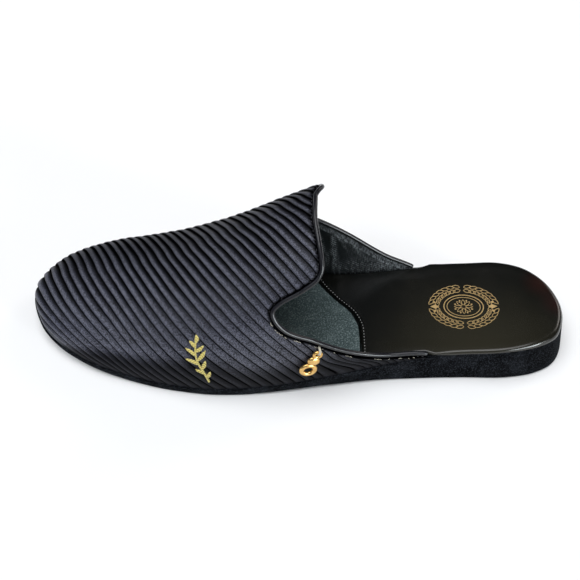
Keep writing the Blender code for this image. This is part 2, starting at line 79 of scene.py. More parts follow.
# heights (under the sole, top of the suede, footbed, ridge) and set-ins from the outline
profile = table(
    "x ground edge footbed ridge lean foot",
    (0, 0.0, 19.4, 22.6, 99.0, 3.5, 3.7),
    (10, 0.0, 20.2, 23.4, 99.0, 3.3, 3.5),
    (20, 0.0, 20.6, 23.8, 99.0, 2.9, 3.1),
    (35, 0.0, 19.6, 22.8, 99.0, 2.3, 2.5),
    (50, 0.0, 18.0, 21.2, 99.0, 2.2, 2.4),
    (62, 0.0, 17.2, 20.4, 99.0, 2.2, 2.4),
    (85, 0.0, 15.4, 18.5, 99.0, 1.7, 2.2),
    (100, 0.5, 12.8, 15.8, 99.0, 1.2, 1.9),
    (120, 1.4, 9.8, 12.6, 99.0, 0.7, 1.4),
    (140, 1.8, 7.9, 10.5, 95.4, 0.3, 1.0),
    (147, 1.7, 7.4, 10.0, 90.9, 0.2, 0.9),
    (160, 1.2, 6.6, 9.1, 82.5, 0.1, 0.8),
    (178, 0.0, 5.6, 8.0, 69.5, 0.0, 0.8),
    (200, 0.0, 4.8, 7.2, 55.0, 0.0, 0.8),
    (215, 0.0, 4.7, 7.1, 46.5, 0.0, 0.8),
    (235, 0.5, 5.2, 7.6, 38.5, 0.0, 0.8),
    (260, 2.8, 6.8, 9.2, 32.5, 0.0, 0.8),
    (280, 5.4, 8.8, 11.2, 29.5, 0.0, 0.8),
    (300, 8.6, 11.6, 14.0, 28.0, 0.0, 0.8),
)

# set-in of the socks from the outline
sockEdge = table(
    "x inset",
    (0, 3.8), (10, 3.6), (20, 3.2), (35, 2.6), (50, 2.5), (73.5, 2.5), (80, 5.1), (100, 4.8), (120, 4.3),
    (140, 3.9), (300, 3.9),
)

belly = table(
    "x inner outer",
    (80, 0, 0), (120, 4.5, 2.0), (150, 3.5, 2.0), (200, 1.0, 0.6), (240, 0, 0),
)

# from the rear of each wing to the middle of the tongue; share is 0 at the sole, 1 on the ridge
topline = table(
    "outerX outerShare innerX innerShare",
    (79.5, 0.014, 84.5, 0.012), (104.0, 0.042, 101.5, 0.082), (122.0, 0.105, 119.5, 0.180),
    (139.5, 0.205, 132.5, 0.250), (153.0, 0.305, 149.0, 0.340), (158.6, 0.390, 158.3, 0.400),
    (159.5, 0.440, 159.5, 0.440), (155.5, 0.470, 155.5, 0.470), (146.0, 0.488, 147.6, 0.488),
    (139.2, 0.512, 143.6, 0.512), (136.6, 0.555, 142.3, 0.555), (137.0, 0.620, 141.4, 0.620),
    (139.2, 0.740, 139.3, 0.740), (141.2, 0.850, 138.4, 0.840), (141.7, 1.000, 141.7, 1.000),
)

sockSeam = table("y x", (-30, 142), (-21, 138), (-10, 130), (4, 118), (14, 114.5), (36, 113.5))

# pleats lie closer at the throat than at the toe; the two sides carry each of them away from the
# ridge by their reach, back to the outer sole and forward to the inner one
pleats = {
    "throatGap": 4.0, "toeGap": 5.3, "widens": (165, 262),
    "outerReach": -74.0, "outerBend": 1.15,
    "innerReach": 36.0, "innerBend": 0.95,
    "grooveAt": 216.0,       # where groove number 1 crosses the ridge
    # shares of the reach, and between which x on the ridge they come in
    "outerLoss": 0.22, "outerLossAt": (205, 310),
    "innerStart": 0.8, "innerGain": 0.2, "innerGainAt": (172, 205),
    "innerLoss": 0.15, "innerLossAt": (225, 280),
    "sidesMeet": (-0.1, 0.4),
    "evenPull": 48.0, "evenWidth": 0.15,
    # along the outer wing the pleats turn to lie beside the sole
    "flare": -9.0, "flareAround": (-0.88, -1.0), "flareAt": (206, 196),
}


def follow(rows, column, x, key="x"):
    # a monotone cubic through one column
    xs, ys = rows[key], rows[column]
    step = np.diff(xs)
    rise = np.diff(ys) / step
    slope = np.zeros_like(ys)
    slope[0], slope[-1] = rise[0], rise[-1]
    for i in range(1, len(xs) - 1):
        if rise[i - 1] * rise[i] > 0:
            before = 2 * step[i] + step[i - 1]
            after = step[i] + 2 * step[i - 1]
            slope[i] = (before + after) / (before / rise[i - 1] + after / rise[i])
    x = np.clip(np.asarray(x, float), xs[0], xs[-1])
    k = np.clip(np.searchsorted(xs, x, side="right") - 1, 0, len(xs) - 2)
    t = (x - xs[k]) / step[k]
    return ((1 + 2 * t) * (1 - t) ** 2 * ys[k] + t * (1 - t) ** 2 * step[k] * slope[k]
            + t * t * (3 - 2 * t) * ys[k + 1] + t * t * (t - 1) * step[k] * slope[k + 1])


def spline(points, each, closed=False):
    # a centripetal Catmull-Rom curve
    points = np.array(points, float)
    count = len(points)
    if closed:
        line = points
        order = [[(i + d) % count for d in (-1, 0, 1, 2)] for i in range(count)]
    else:
        line = np.vstack([2 * points[0] - points[1], points, 2 * points[-1] - points[-2]])
        order = [[i, i + 1, i + 2, i + 3] for i in range(count - 1)]
    curve = []
    for four in order:
        a, b, c, d = line[four]
        t1 = np.linalg.norm(b - a) ** 0.5
        t2 = t1 + np.linalg.norm(c - b) ** 0.5
        t3 = t2 + np.linalg.norm(d - c) ** 0.5
        for t in np.linspace(t1, t2, each, endpoint=False):
            ab = (t1 - t) / t1 * a + t / t1 * b
            bc = (t2 - t) / (t2 - t1) * b + (t - t1) / (t2 - t1) * c
            cd = (t3 - t) / (t3 - t2) * c + (t - t2) / (t3 - t2) * d
            abc = (t2 - t) / t2 * ab + t / t2 * bc
            bcd = (t3 - t) / (t3 - t1) * bc + (t - t1) / (t3 - t1) * cd
            curve.append((t2 - t) / (t2 - t1) * abc + (t - t1) / (t2 - t1) * bcd)
    if not closed:
        curve.append(points[-1])
    return np.array(curve)


def unit(vectors):
    vectors = np.asarray(vectors, float)
    return vectors / np.maximum(np.linalg.norm(vectors, axis=-1, keepdims=True), 1e-12)


def runAlong(points):
    # the length of a path up to each of its points
    return np.r_[0, np.cumsum(np.linalg.norm(np.diff(points, axis=0), axis=1))]


def sample(at, run, rows):
    # rows read at these lengths along the path
    return np.stack([np.interp(at, run, rows[:, i]) for i in range(rows.shape[1])], -1)


def numbered(rows, columns, start=0):
    # vertex numbers of a grid
    return start + np.arange(rows * columns).reshape(rows, columns)


def ease(low, high, x):
    # from 0 to 1 as x goes from low to high, either way round
    t = np.clip((np.asarray(x, float) - low) / (high - low), 0, 1)
    return t * t * (3 - 2 * t)


# the outline once round: heel, outer side, toe, inner side
soleEdge = spline(
    [(0.0, 0.6)] + list(zip(outline["x"], outline["outer"])) + [(last["length"], last["toeY"])]
    + list(zip(outline["x"], -outline["inner"]))[::-1], 16, closed=True)
middleY = (soleEdge[:, 1].max() + soleEdge[:, 1].min()) / 2


def world(points):
    return (np.asarray(points, float) - (last["length"] / 2, middleY, 0.0)) * 0.001


def height(column, x):
    return follow(sockEdge, "inset", x) if column == "sock" else follow(profile, column, x)


def insetEdge(inset, column=None):
    along = unit(np.roll(soleEdge, -1, axis=0) - np.roll(soleEdge, 1, axis=0))
    if column:
        inset = inset + height(column, soleEdge[:, 0])[:, None]
    return soleEdge + np.stack([along[:, 1], -along[:, 0]], 1) * inset


sideLines = {}


def sideY(x, outer, inset=0.0, column=None):
    # y of the inset outline at x
    key = (outer, inset, column)
    if key not in sideLines:
        line = insetEdge(inset, column)
        back, front = int(np.argmin(line[:, 0])), int(np.argmax(line[:, 0]))
        if outer:
            order = [(back + i) % len(line) for i in range((front - back) % len(line) + 1)]
        else:
            order = [(back - i) % len(line) for i in range((back - front) % len(line) + 1)]
        line = line[order]
        sideLines[key] = line[np.argsort(line[:, 0], kind="stable")]
    return np.interp(x, sideLines[key][:, 0], sideLines[key][:, 1])


def footY(x, outer):
    return sideY(x, outer, 0.0, "foot")


def girth(turn):
    # out and up along a quarter of a superellipse
    power = 2 / last["squareness"]
    return np.maximum(np.cos(turn), 0) ** power, np.maximum(np.sin(turn), 0) ** power


def upperFoot(x):
    return height("edge", x) + last["gap"] + last["clearance"]


def vampPoint(x, share, outer):
    # the outside of the upper, aft of the toe dome
    x = np.asarray(x, float)
    turn = np.asarray(share, float) * math.pi / 2
    out, up = girth(turn)
    foot = footY(x, outer)
    bulge = follow(belly, "outer" if outer else "inner", x) * (1 if outer else -1)
    swell = last["swell"] * np.abs(np.sin(2 * turn)) ** last["swell"] * np.cos(turn)
    low = upperFoot(x)
    y = last["ridgeY"] + (foot - last["ridgeY"]) * out + bulge * swell
    z = low + (height("ridge", x) - low) * up
    return np.stack(np.broadcast_arrays(x, y, z), -1)


def toePoint(share, around):
    # the toe dome, from the outer side (around 0) to the inner side (1)
    poleX = last["poleX"]
    pole = np.array([poleX, last["ridgeY"]])
    edge = insetEdge(0.0, "foot")
    edge = edge[edge[:, 0] >= poleX]
    ends = [np.array([[poleX, footY(poleX, side)]]) for side in (True, False)]
    edge = edge[np.argsort(-np.arctan2(edge[:, 1] - pole[1], edge[:, 0] - pole[0]))]
    edge = np.vstack([ends[0], edge, ends[1]])
    run = runAlong(edge)
    foot = sample(around * run[-1], run, edge)
    out, up = girth(share * math.pi / 2)
    plan = pole + (foot - pole) * out[..., None]
    low = upperFoot(foot[..., 0])
    top = height("ridge", plan[..., 0])
    z = low + (top - low) * up
    return np.concatenate([plan, z[..., None]], -1)


def surfaceFrame(x, share, outer):
    # the point, its outward normal and the two steps along x and share
    here = vampPoint(x, share, outer)
    along = (vampPoint(x + 0.5, share, outer) - here) / 0.5
    step = 0.004 if share < 0.99 else -0.004
    across = (vampPoint(x, share + step, outer) - here) / step
    normal = np.cross(along, across) * (-1 if outer else 1)
    return here, unit(normal), along, across


def toplineKnots(count, outer):
    side = "outer" if outer else "inner"
    knots = spline(list(zip(topline[side + "X"], topline[side + "Share"] * 100)), 12)
    knots[:, 1] /= 100
    steps = np.diff(vampPoint(knots[:, 0], knots[:, 1], outer), axis=0)
    length = np.linalg.norm(steps, axis=1)
    ways = steps / length[:, None]
    turn = np.arccos(np.clip((ways[1:] * ways[:-1]).sum(1), -1, 1))
    run = np.r_[0, np.cumsum(length + last["cornerWeight"] * (np.r_[turn, 0] + np.r_[0, turn]) / 2)]
    return sample(np.linspace(0, run[-1], count), run, knots)


def loweredKnots(knots, drop, outer):
    # the topline moved down its own surface
    place = vampPoint(knots[:, 0], knots[:, 1], outer)
    moved = []
    for i, (x, share) in enumerate(knots):
        normal, along, across = surfaceFrame(x, share, outer)[1:]
        line = unit(place[min(i + 1, len(place) - 1)] - place[max(i - 1, 0)])
        if i == len(place) - 1:
            line = np.array([0.0, -1.0 if outer else 1.0, 0.0])
        down = np.cross(line, normal) * (-1 if outer else 1)
        step = np.linalg.lstsq(np.stack([along, across], 1), down * drop, rcond=None)[0]
        moved.append((x + step[0], min(share + step[1], 1.0)))
    return np.array(moved)




def aroundVamp(share, outer):
    # -1 at the outer foot, 0 on the ridge and 1 at the inner foot, evenly by angle
    angle = np.arctan2(*girth(np.asarray(share, float) * math.pi / 2))
    return angle * 2 / math.pi * (-1 if outer else 1)


def aroundToe(points):
    # the same measure on the toe dome, shrinking with the girth
    poleX, power = last["poleX"], last["squareness"]
    outer = points[..., 1] > last["ridgeY"]
    reach = np.where(outer, footY(poleX, True), footY(poleX, False)) - last["ridgeY"]
    out = np.abs((points[..., 1] - last["ridgeY"]) / reach)
    up = np.maximum(points[..., 2] - upperFoot(points[..., 0]), 0)
    up = up / (height("ridge", poleX) - upperFoot(poleX))
    girth = np.minimum((out ** power + up ** power) ** (1 / power), 1)
    return np.arctan2(out, up) * 2 / math.pi * girth * np.where(outer, -1, 1)


# pleats counted along the ridge and its straight continuation past both ends
pleatRow = {"x": np.arange(48.0, 381.0)}
pleatGaps = (pleats["throatGap"]
             + (pleats["toeGap"] - pleats["throatGap"]) * ease(*pleats["widens"], pleatRow["x"]))
pleatRow["number"] = np.cumsum(1 / pleatGaps)
pleatRow["number"] += 1 - np.interp(pleats["grooveAt"], pleatRow["x"], pleatRow["number"])


def pleatSweep(around):
    # how far a pleat has moved along the shoe, from the outer sole (-1) over the ridge (0) to the inner
    out = np.abs(around)
    return np.where(around < 0, pleats["outerReach"] * out ** pleats["outerBend"],
                    pleats["innerReach"] * out ** pleats["innerBend"])


def pleatShift(ridgeX, around):
    # how far along the shoe the pleat that crosses the ridge at ridgeX lies from there
    outer = 1 - pleats["outerLoss"] * ease(*pleats["outerLossAt"], ridgeX)
    inner = (pleats["innerStart"] + pleats["innerGain"] * ease(*pleats["innerGainAt"], ridgeX)
             - pleats["innerLoss"] * ease(*pleats["innerLossAt"], ridgeX))
    share = outer + (inner - outer) * ease(*pleats["sidesMeet"], around)
    # both sides leave the ridge at one slope, though the outer side is the wider
    behindToe = np.minimum(ridgeX, last["poleX"])
    reachOuter = footY(behindToe, True) - last["ridgeY"]
    reachInner = last["ridgeY"] - footY(behindToe, False)
    reach = np.where(around < 0, reachOuter, reachInner) * 2 / (reachOuter + reachInner)
    even = pleats["evenPull"] * around * (reach - 1) * np.exp(-(around / pleats["evenWidth"]) ** 2)
    wander = 0.15 * np.sin(ridgeX * 0.53 + around * 3.0) + 0.08 * np.sin(ridgeX * 1.31 - around * 5.0)
    flare = pleats["flare"] * ease(*pleats["flareAround"], around) * ease(*pleats["flareAt"], ridgeX)
    return pleatSweep(around) * share + even + wander + flare


def pleatX(number, around):
    ridgeX = np.interp(number, pleatRow["number"], pleatRow["x"])
    return ridgeX + pleatShift(ridgeX, around)


def pleatNumber(x, around):
    # which pleat passes here; whole numbers are the grooves
    ridgeX = x - pleatSweep(around)
    for step in range(12):
        ridgeX = 0.3 * ridgeX + 0.7 * (x - pleatShift(ridgeX, around))
    return np.interp(ridgeX, pleatRow["x"], pleatRow["number"])


def distanceTo(points, line):
    # from each point to the nearest knot of a dense line
    points = points.reshape(-1, points.shape[-1])
    nearest = np.empty(len(points))
    for start in range(0, len(points), 4000):
        block = points[start:start + 4000]
        gaps = ((block[:, None, :] - line[None, :, :]) ** 2).sum(-1)
        nearest[start:start + 4000] = np.sqrt(gaps.min(1))
    return nearest


def linked(name, data):
    made = bpy.data.objects.new(name, data)
    bpy.context.scene.collection.objects.link(made)
    return made


def addPiece(name, mesh, material, body):
    piece = linked(name, mesh)
    mesh.materials.clear()
    mesh.materials.append(material)
    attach(piece, body)
    return piece


def meshOf(name, points, faces, smooth=True, outwards=True, attributes=None):
    mesh = bpy.data.meshes.new(name)
    mesh.from_pydata([tuple(p) for p in world(points)], [], faces)
    for key, values in (attributes or {}).items():
        layer = mesh.attributes.new(key, "FLOAT", "POINT")
        layer.data.foreach_set("value", np.asarray(values, np.float32).ravel())
    if outwards:
        body = bmesh.new()
        body.from_mesh(mesh)
        bmesh.ops.recalc_face_normals(body, faces=body.faces)
        body.to_mesh(mesh)
        body.free()
    if smooth:
        mesh.shade_smooth()
    mesh.update()
    return mesh


def gridFaces(index, closed=False):
    # quads over a grid of vertex numbers; repeated numbers make triangles
    rows, columns = index.shape
    faces = []
    for j in range(rows - 1):
        low, high = index[j], index[j + 1]
        for i in range(columns if closed else columns - 1):
            n = (i + 1) % columns
            corners = [low[i], low[n], high[n], high[i]]
            face = [int(c) for k, c in enumerate(corners) if c != corners[k - 1]]
            if len(face) > 2:
                faces.append(face)
    return faces


def tube(points, radii, sides, start=0):
    # a round cord along the points with rounded ends
    points = np.asarray(points, float)
    radii = np.broadcast_to(np.asarray(radii, float), len(points)).copy()
    tangent = unit(np.gradient(points, axis=0))
    side = unit(np.cross(tangent[0], (0.3, 0.5, 0.8)))
    rings, runs = [], []
    cap = 4
    run = runAlong(points)
    angles = np.linspace(0, 2 * math.pi, sides, endpoint=False)

    def ring(centre, radius, side, tangent, at):
        other = np.cross(tangent, side)
        rings.append(centre + radius * (np.cos(angles)[:, None] * side + np.sin(angles)[:, None] * other))
        runs.append(np.full(sides, at))

    def roundedEnd(end, k, way, side):
        back = 1 - math.sin(k / cap * math.pi / 2)
        ring(points[end] + way * tangent[end] * radii[end] * back,
             radii[end] * max(0.05, math.sqrt(1 - back ** 2)), side, tangent[end], run[end])

    for k in range(cap):
        roundedEnd(0, k, -1, side)
    for k in range(len(points)):
        side = unit(side - tangent[k] * (side @ tangent[k]))
        ring(points[k], radii[k], side, tangent[k], run[k])
    for k in range(cap - 1, -1, -1):
        roundedEnd(-1, k, 1, side)
    index = numbered(len(rings), sides, start)
    faces = gridFaces(index, closed=True) + [index[0][::-1].tolist(), index[-1].tolist()]
    return np.vstack(rings), faces, np.concatenate(runs)


def manyTubes(name, lines, radius, sides=8):
    points, faces, runs = [], [], []
    count = 0
    for line in lines:
        p, f, r = tube(line, radius, sides, count)
        points.append(p)
        faces += f
        runs.append(r)
        count += len(p)
    return meshOf(name, np.vstack(points), faces, attributes={"run": np.concatenate(runs)})


def stitchLines(path, normals, length, gap, lift):
    # short arched stitches spaced along a path
    run = runAlong(path)
    lines = []
    start = gap
    while start + length < run[-1]:
        at = start + np.linspace(0, length, 6)
        centre, up = sample(at, run, path), unit(sample(at, run, normals))
        arch = np.sin(np.linspace(0, math.pi, 6)) ** 0.6
        lines.append(centre + up * (lift * arch - 0.25 * (1 - arch))[:, None])
        start += length + gap
    return lines


def addStitches(name, lines, radius, finish, sides=6):
    return addPiece(name, manyTubes(name, lines, radius, sides), finishes[finish], "shoe")


class Wire:
    # a node's output that works in Python sums
    def __init__(self, sheet, socket):
        self.sheet, self.socket = sheet, socket

    def math(self, operation, *values):
        return self.sheet.node("Math", {"operation": operation}, dict(enumerate(values)))

    def __add__(self, other):
        return self.math("ADD", self, other)

    def __radd__(self, other):
        return self.math("ADD", other, self)

    def __sub__(self, other):
        return self.math("SUBTRACT", self, other)

    def __rsub__(self, other):
        return self.math("SUBTRACT", other, self)

    def __mul__(self, other):
        return self.math("MULTIPLY", self, other)

    def fraction(self):
        return self.math("FRACT", self)

    def sine(self):
        return self.math("SINE", self)

    def least(self, other):
        return self.math("MINIMUM", self, other)

    def most(self, other):
        return self.math("MAXIMUM", self, other)

    def ramp(self, low, high, start=0.0, end=1.0):
        # eased from start to end as the value goes from low to high
        return self.sheet.node("MapRange", {"interpolation_type": "SMOOTHSTEP"},
                               {"Value": self, "From Min": low, "From Max": high,
                                "To Min": start, "To Max": end})


class Finish:
    def __init__(self, name, **constants):
        self.material = bpy.data.materials.new(name)
        self.material.use_nodes = True
        self.tree = self.material.node_tree
        self.shader = self.tree.nodes["Principled BSDF"]
        for key, value in constants.items():
            self.set(key, value)

    def set(self, key, value):
        names = {"colour": "Base Color", "roughness": "Roughness", "metallic": "Metallic",
                 "specular": "Specular IOR Level",
                 "coat": "Coat Weight", "coatRoughness": "Coat Roughness", "sheen": "Sheen Weight",
                 "sheenRoughness": "Sheen Roughness", "sheenTint": "Sheen Tint", "normal": "Normal",
                 "coatIor": "Coat IOR"}
        self.plug(self.shader.inputs[names[key]], value)

    def plug(self, socket, value):
        if isinstance(value, Wire):
            self.tree.links.new(value.socket, socket)
        elif isinstance(value, tuple) and len(value) == 3 and socket.type == "RGBA":
            socket.default_value = (*value, 1.0)
        else:
            socket.default_value = value

    def node(self, kind, settings=None, values=None, output=0):
        made = self.tree.nodes.new("ShaderNode" + kind)
        for key, value in (settings or {}).items():
            if key == "stops":
                stops = made.color_ramp.elements
                while len(stops) < len(value):
                    stops.new(0.5)
                for stop, (place, colour) in zip(stops, value):
                    stop.position, stop.color = place, (*colour, 1.0)
            else:
                setattr(made, key, value)
        for key, value in (values or {}).items():
            self.plug(made.inputs[key], value)
        return Wire(self, made.outputs[output])

    def cover(self, factor, colour, roughness):
        # a second, matt shader laid over the first where factor is 1
        matt = self.node("BsdfPrincipled", {},
                         {"Base Color": colour, "Roughness": roughness, "Specular IOR Level": 0.0})
        mixed = self.node("MixShader", {}, {0: factor, 1: Wire(self, self.shader.outputs[0]), 2: matt})
        self.tree.links.new(mixed.socket, self.tree.nodes["Material Output"].inputs["Surface"])

    def place(self):
        return self.node("TexCoord", output="Object")

    def stretched(self, x, y, z):
        return self.node("Mapping", {}, {"Vector": self.place(), "Scale": (x, y, z)})

    def noise(self, scale, detail=3.0, roughness=0.5, at=None, distortion=0.0):
        return self.node("TexNoise", {}, {"Vector": at or self.place(), "Scale": scale, "Detail": detail,
                                          "Roughness": roughness, "Distortion": distortion})

    def value(self, name):
        return self.node("Attribute", {"attribute_name": name}, output="Fac")

    def blend(self, factor, first, second):
        return self.node("Mix", {"data_type": "RGBA"}, {0: factor, 6: first, 7: second}, output=2)

    def bump(self, height, distance, strength=1.0, normal=None):
        values = {"Height": height, "Distance": distance, "Strength": strength}
        if normal:
            values["Normal"] = normal
        return self.node("Bump", {}, values)


# colours are linear; sizes inside a material are in metres
satin = {
    "shade": (0.0050, 0.0052, 0.0078),
    "light": (0.0680, 0.0715, 0.1000),
    # the next colour is painted light, lighter and bluer towards the toe
    "toePaintedLight": (0.083, 0.089, 0.131),
    # a painted highlight along the crest of each pleat
    "crest": (0.145, 0.150, 0.190),
    # painted shade on the inner side, strongest towards the throat
    "away": (0.0110, 0.0110, 0.0125),
    # a band of painted light low on the outer side
    "paintedLight": (0.135, 0.141, 0.185),
    # painted shade in the grooves and on the shaded side of each pleat
    "grooveShade": (0.0006, 0.0006, 0.0008),
    "roughness": 0.42,
    "grooveWidth": 0.075,    # as a share of a pleat
}


def makeSatin():
    finish = Finish("Satin", specular=0.2, sheen=0.03, sheenRoughness=0.35, sheenTint=(0.85, 0.88, 1.0))
    pleat, fade, side = finish.value("pleat"), finish.value("fade"), finish.value("side")
    phase = pleat.fraction()
    toGroove = phase.least(1 - phase)
    # the painted shade in the grooves widens low on the outer side, and a band of painted light lies across
    # the lower outer side
    grooveShade = toGroove.ramp(0.015, satin["grooveWidth"] + side.ramp(-0.8, -0.3, 0.05, 0.0), 1, 0) * fade
    along = finish.node("SeparateXYZ", {}, {"Vector": finish.place()}, output="X")
    belowLight = side - along.ramp(0.018, 0.048, 0.0, 0.14)
    paintedLight = belowLight.ramp(-0.93, -0.80) * side.ramp(-0.72, -0.42, 1, 0)
    # the heel side of every pleat lies in the shade of the one behind, least low on the outer side
    depth = side.ramp(-0.72, -0.12, 0.22, 1.0) * fade
    shadow = phase.ramp(0.08, 0.5, 1, 0).most(phase.ramp(0.84, 0.95)) * depth
    # a painted highlight along the crest of each pleat
    crest = (phase.ramp(0.38, 0.62) * phase.ramp(0.72, 0.90, 1, 0)
             * depth.most(side.ramp(-0.95, -0.5, 0.18, 0.45)))
    mottle = finish.noise(1700.0, 1.5, 0.8)
    cloud = finish.noise(90.0, 3.0, 0.5)
    grain = mottle.ramp(0.45, 0.55) * 0.85 + cloud.ramp(0.35, 0.65) * 0.15
    # painted shade over the inner side, strongest towards the throat
    awayShade = side.ramp(-0.4, 0.12) * pleat.ramp(-12.0, 12.0, 0.80, 0.62)
    # painted shade: the cloth darkens towards the foot on the outer side
    spread = belowLight.ramp(-0.95, -0.80, 0.16, 1.0)
    # painted light: lighter and bluer towards the toe
    light = finish.blend(along.ramp(0.055, 0.095), satin["light"], satin["toePaintedLight"])
    light = finish.blend(paintedLight, finish.blend(awayShade, light, satin["away"]), satin["paintedLight"])
    plain = finish.blend(grain * spread, satin["shade"], light)
    face = finish.blend(crest * grain.ramp(0.1, 0.9, 0.35, 1.0) * (1 - awayShade * 0.7),
                        plain, satin["crest"])
    # the grooves and the shaded sides of the pleats are painted near-black as shade
    finish.set("colour", finish.blend((shadow * 0.85 + grooveShade).least(1.0), face, satin["grooveShade"]))
    finish.set("roughness", (satin["roughness"] + (mottle - 0.5) * 0.3 + shadow * 0.2).least(1.0))
    weave = finish.bump(mottle, 0.00015, 0.45)
    finish.set("normal", finish.bump(0 - grooveShade, 0.0003, 0.6, weave))
    # a matt near-black cover paints shade in the grooves, on the shaded sides of the pleats, in the ditch
    # beside the piping, low on the outer side and over the inner side
    seam = finish.value("seam")
    low = belowLight.ramp(-0.96, -0.80, 0.5, 0.0) + side.ramp(-0.05, 0.3, 0.0, 0.4)
    finish.cover((grooveShade * 0.95 + shadow * 0.7 + seam + low).least(1.0), satin["grooveShade"], 0.9)
    return finish.material


piping = {
    "shade": (0.0040, 0.0040, 0.0056),
    "light": (0.0130, 0.0132, 0.0175),
    "radius": 1.18,
    "knots": 200,
}


def makePipingSatin():
    finish = Finish("PipingSatin", specular=0.3, coatRoughness=0.14)
    fine = finish.noise(2200.0, 3.0, 0.6)
    slow = finish.noise(160.0, 2.0, 0.5)
    finish.set("colour", finish.blend(fine * 0.6 + slow * 0.4, piping["shade"], piping["light"]))
    finish.set("roughness", 0.30 + (fine - 0.5) * 0.16 + (slow - 0.5) * 0.1)
    finish.set("coat", 0.25 + (slow - 0.5) * 0.2)
    weave = finish.bump(fine, 0.0001, 0.3)
    finish.set("normal", finish.bump(slow, 0.0008, 0.35, weave))
    return finish.material


suede = {
    "dark": (0.0005, 0.0007, 0.0011),
    "light": (0.034, 0.038, 0.046),
    "sockDark": (0.051, 0.072, 0.073),
    "sockLight": (0.202, 0.258, 0.262),
}


def makeSuede(name, dark, light, fleck=0.7):
    finish = Finish(name, specular=0.02, sheen=0.015, sheenRoughness=0.5, sheenTint=(0.55, 0.62, 0.66))
    nap = finish.noise(1300.0, 3.0, 0.7)
    brushed = finish.noise(70.0, 4.0, 0.6, distortion=0.6)
    mix = nap.ramp(0.48, 0.64) * fleck + brushed.ramp(0.42, 0.72) * (1 - fleck)
    finish.set("colour", finish.blend(mix.least(1.0), dark, light))
    finish.set("roughness", 0.86 + (brushed - 0.5) * 0.2)
    soft = finish.bump(brushed, 0.0006, 0.3)
    finish.set("normal", finish.bump(nap, 0.00035, 0.7, soft))
    return finish.material


leather = {
    "heel": (0.0024, 0.0030, 0.0028),
    "heelWorn": (0.0050, 0.0048, 0.0034),
    "heelSpotsAndReflections": (
        # the first spot lightens the outer side of the heel seat; the two reddish spots at the rear rim are
        # painted reflection
        ((0.0230, 0.0210, 0.0135), (-0.098, 0.032, 0.020), 0.072),
        ((0.0160, 0.0060, 0.0045), (-0.137, -0.020, 0.023), 0.014),
        ((0.0150, 0.0060, 0.0050), (-0.1435, -0.006, 0.023), 0.012),
    ),
    "lining": (0.0030, 0.0044, 0.0052),
    "liningWorn": (0.0090, 0.0125, 0.0145),
    "liningHighlight": (0.52, 0.57, 0.60),
    "patch": (0.006, 0.0075, 0.008),
    "patchWorn": (0.012, 0.015, 0.016),
}


def makeLeather(name, dark, worn, roughness, grain, specular=0.5, patches=(), paintedHighlightColour=None, coat=0.25,
                coatIor=1.5, coatRoughness=0.15):
    # patches are spots of another colour: colour, middle and radius in the frame's metres; the painted
    # highlight colour is laid on where the mesh's own highlight value is 1
    finish = Finish(name, specular=specular, coatRoughness=coatRoughness, coatIor=coatIor)
    pores = finish.node("TexVoronoi", {"feature": "DISTANCE_TO_EDGE"},
                        {"Vector": finish.place(), "Scale": 1600.0}, output="Distance")
    cells = pores.ramp(0.0, 0.12)
    cloud = finish.noise(30.0, 3.0, 0.5)
    colour = finish.blend(cloud.ramp(0.35, 0.7), dark, worn)
    for tint, middle, radius in patches:
        away = finish.node("VectorMath", {"operation": "DISTANCE"},
                           {0: finish.place(), 1: middle}, output="Value")
        colour = finish.blend(away.ramp(0.0, radius, 1, 0), colour, tint)
    if paintedHighlightColour:
        streaks = finish.node("TexNoise", {}, {"Vector": finish.stretched(1400.0, 500.0, 350.0),
                                               "Scale": 1.0, "Detail": 3.0})
        # painted highlight, streaked, where the mesh's highlight value is high
        shine = finish.value("shine") * streaks.ramp(0.38, 0.62, 0.12, 1.0)
        colour = finish.blend(shine, colour, paintedHighlightColour)
    finish.set("colour", colour)
    finish.set("roughness", roughness + (cloud - 0.5) * 0.1 + (1 - cells) * 0.05)
    finish.set("coat", coat + (cloud - 0.5) * 0.1)
    soft = finish.bump(cloud, 0.0012, 0.2)
    finish.set("normal", finish.bump(cells, 0.00006, grain, soft))
    return finish.material


gold = {
    "cast": (0.62, 0.36, 0.11),
    "castPale": (0.76, 0.49, 0.18),
    "foil": (0.66, 0.44, 0.18),
    "foilPale": (0.80, 0.58, 0.28),
}


def makeCastGold():
    finish = Finish("CastGold", metallic=1.0)
    tone = finish.noise(320.0, 2.0, 0.5)
    wear = finish.noise(2400.0, 4.0, 0.7)
    finish.set("colour", finish.blend(tone.ramp(0.3, 0.7), gold["cast"], gold["castPale"]))
    finish.set("roughness", 0.27 + wear.ramp(0.45, 0.8) * 0.18)
    finish.set("normal", finish.bump(tone, 0.00025, 0.25))
    return finish.material


def makeFoil():
    finish = Finish("FoilStamp")
    speckle = finish.noise(3200.0, 3.0, 0.7)
    slow = finish.noise(140.0, 2.0, 0.5)
    finish.set("colour", finish.blend(speckle.ramp(0.35, 0.7), gold["foil"], gold["foilPale"]))
    finish.set("metallic", 0.55 + slow * 0.3)
    finish.set("roughness", 0.34 + (speckle - 0.5) * 0.3)
    finish.set("normal", finish.bump(speckle, 0.00008, 0.4))
    return finish.material


# dark and light colour, length of one twist in millimetres, roughness; the dark between the plies of the
# twist is painted shade
threads = {
    "goldThread": ((0.22, 0.15, 0.02), (0.96, 0.84, 0.27), 1.1, 0.4),
    "paleThread": ((0.42, 0.38, 0.28), (0.80, 0.76, 0.64), 0.6, 0.55),
    "blackThread": ((0.006, 0.006, 0.008), (0.045, 0.046, 0.054), 0.5, 0.4),
    "greyThread": ((0.09, 0.09, 0.09), (0.36, 0.36, 0.35), 0.5, 0.4),
}


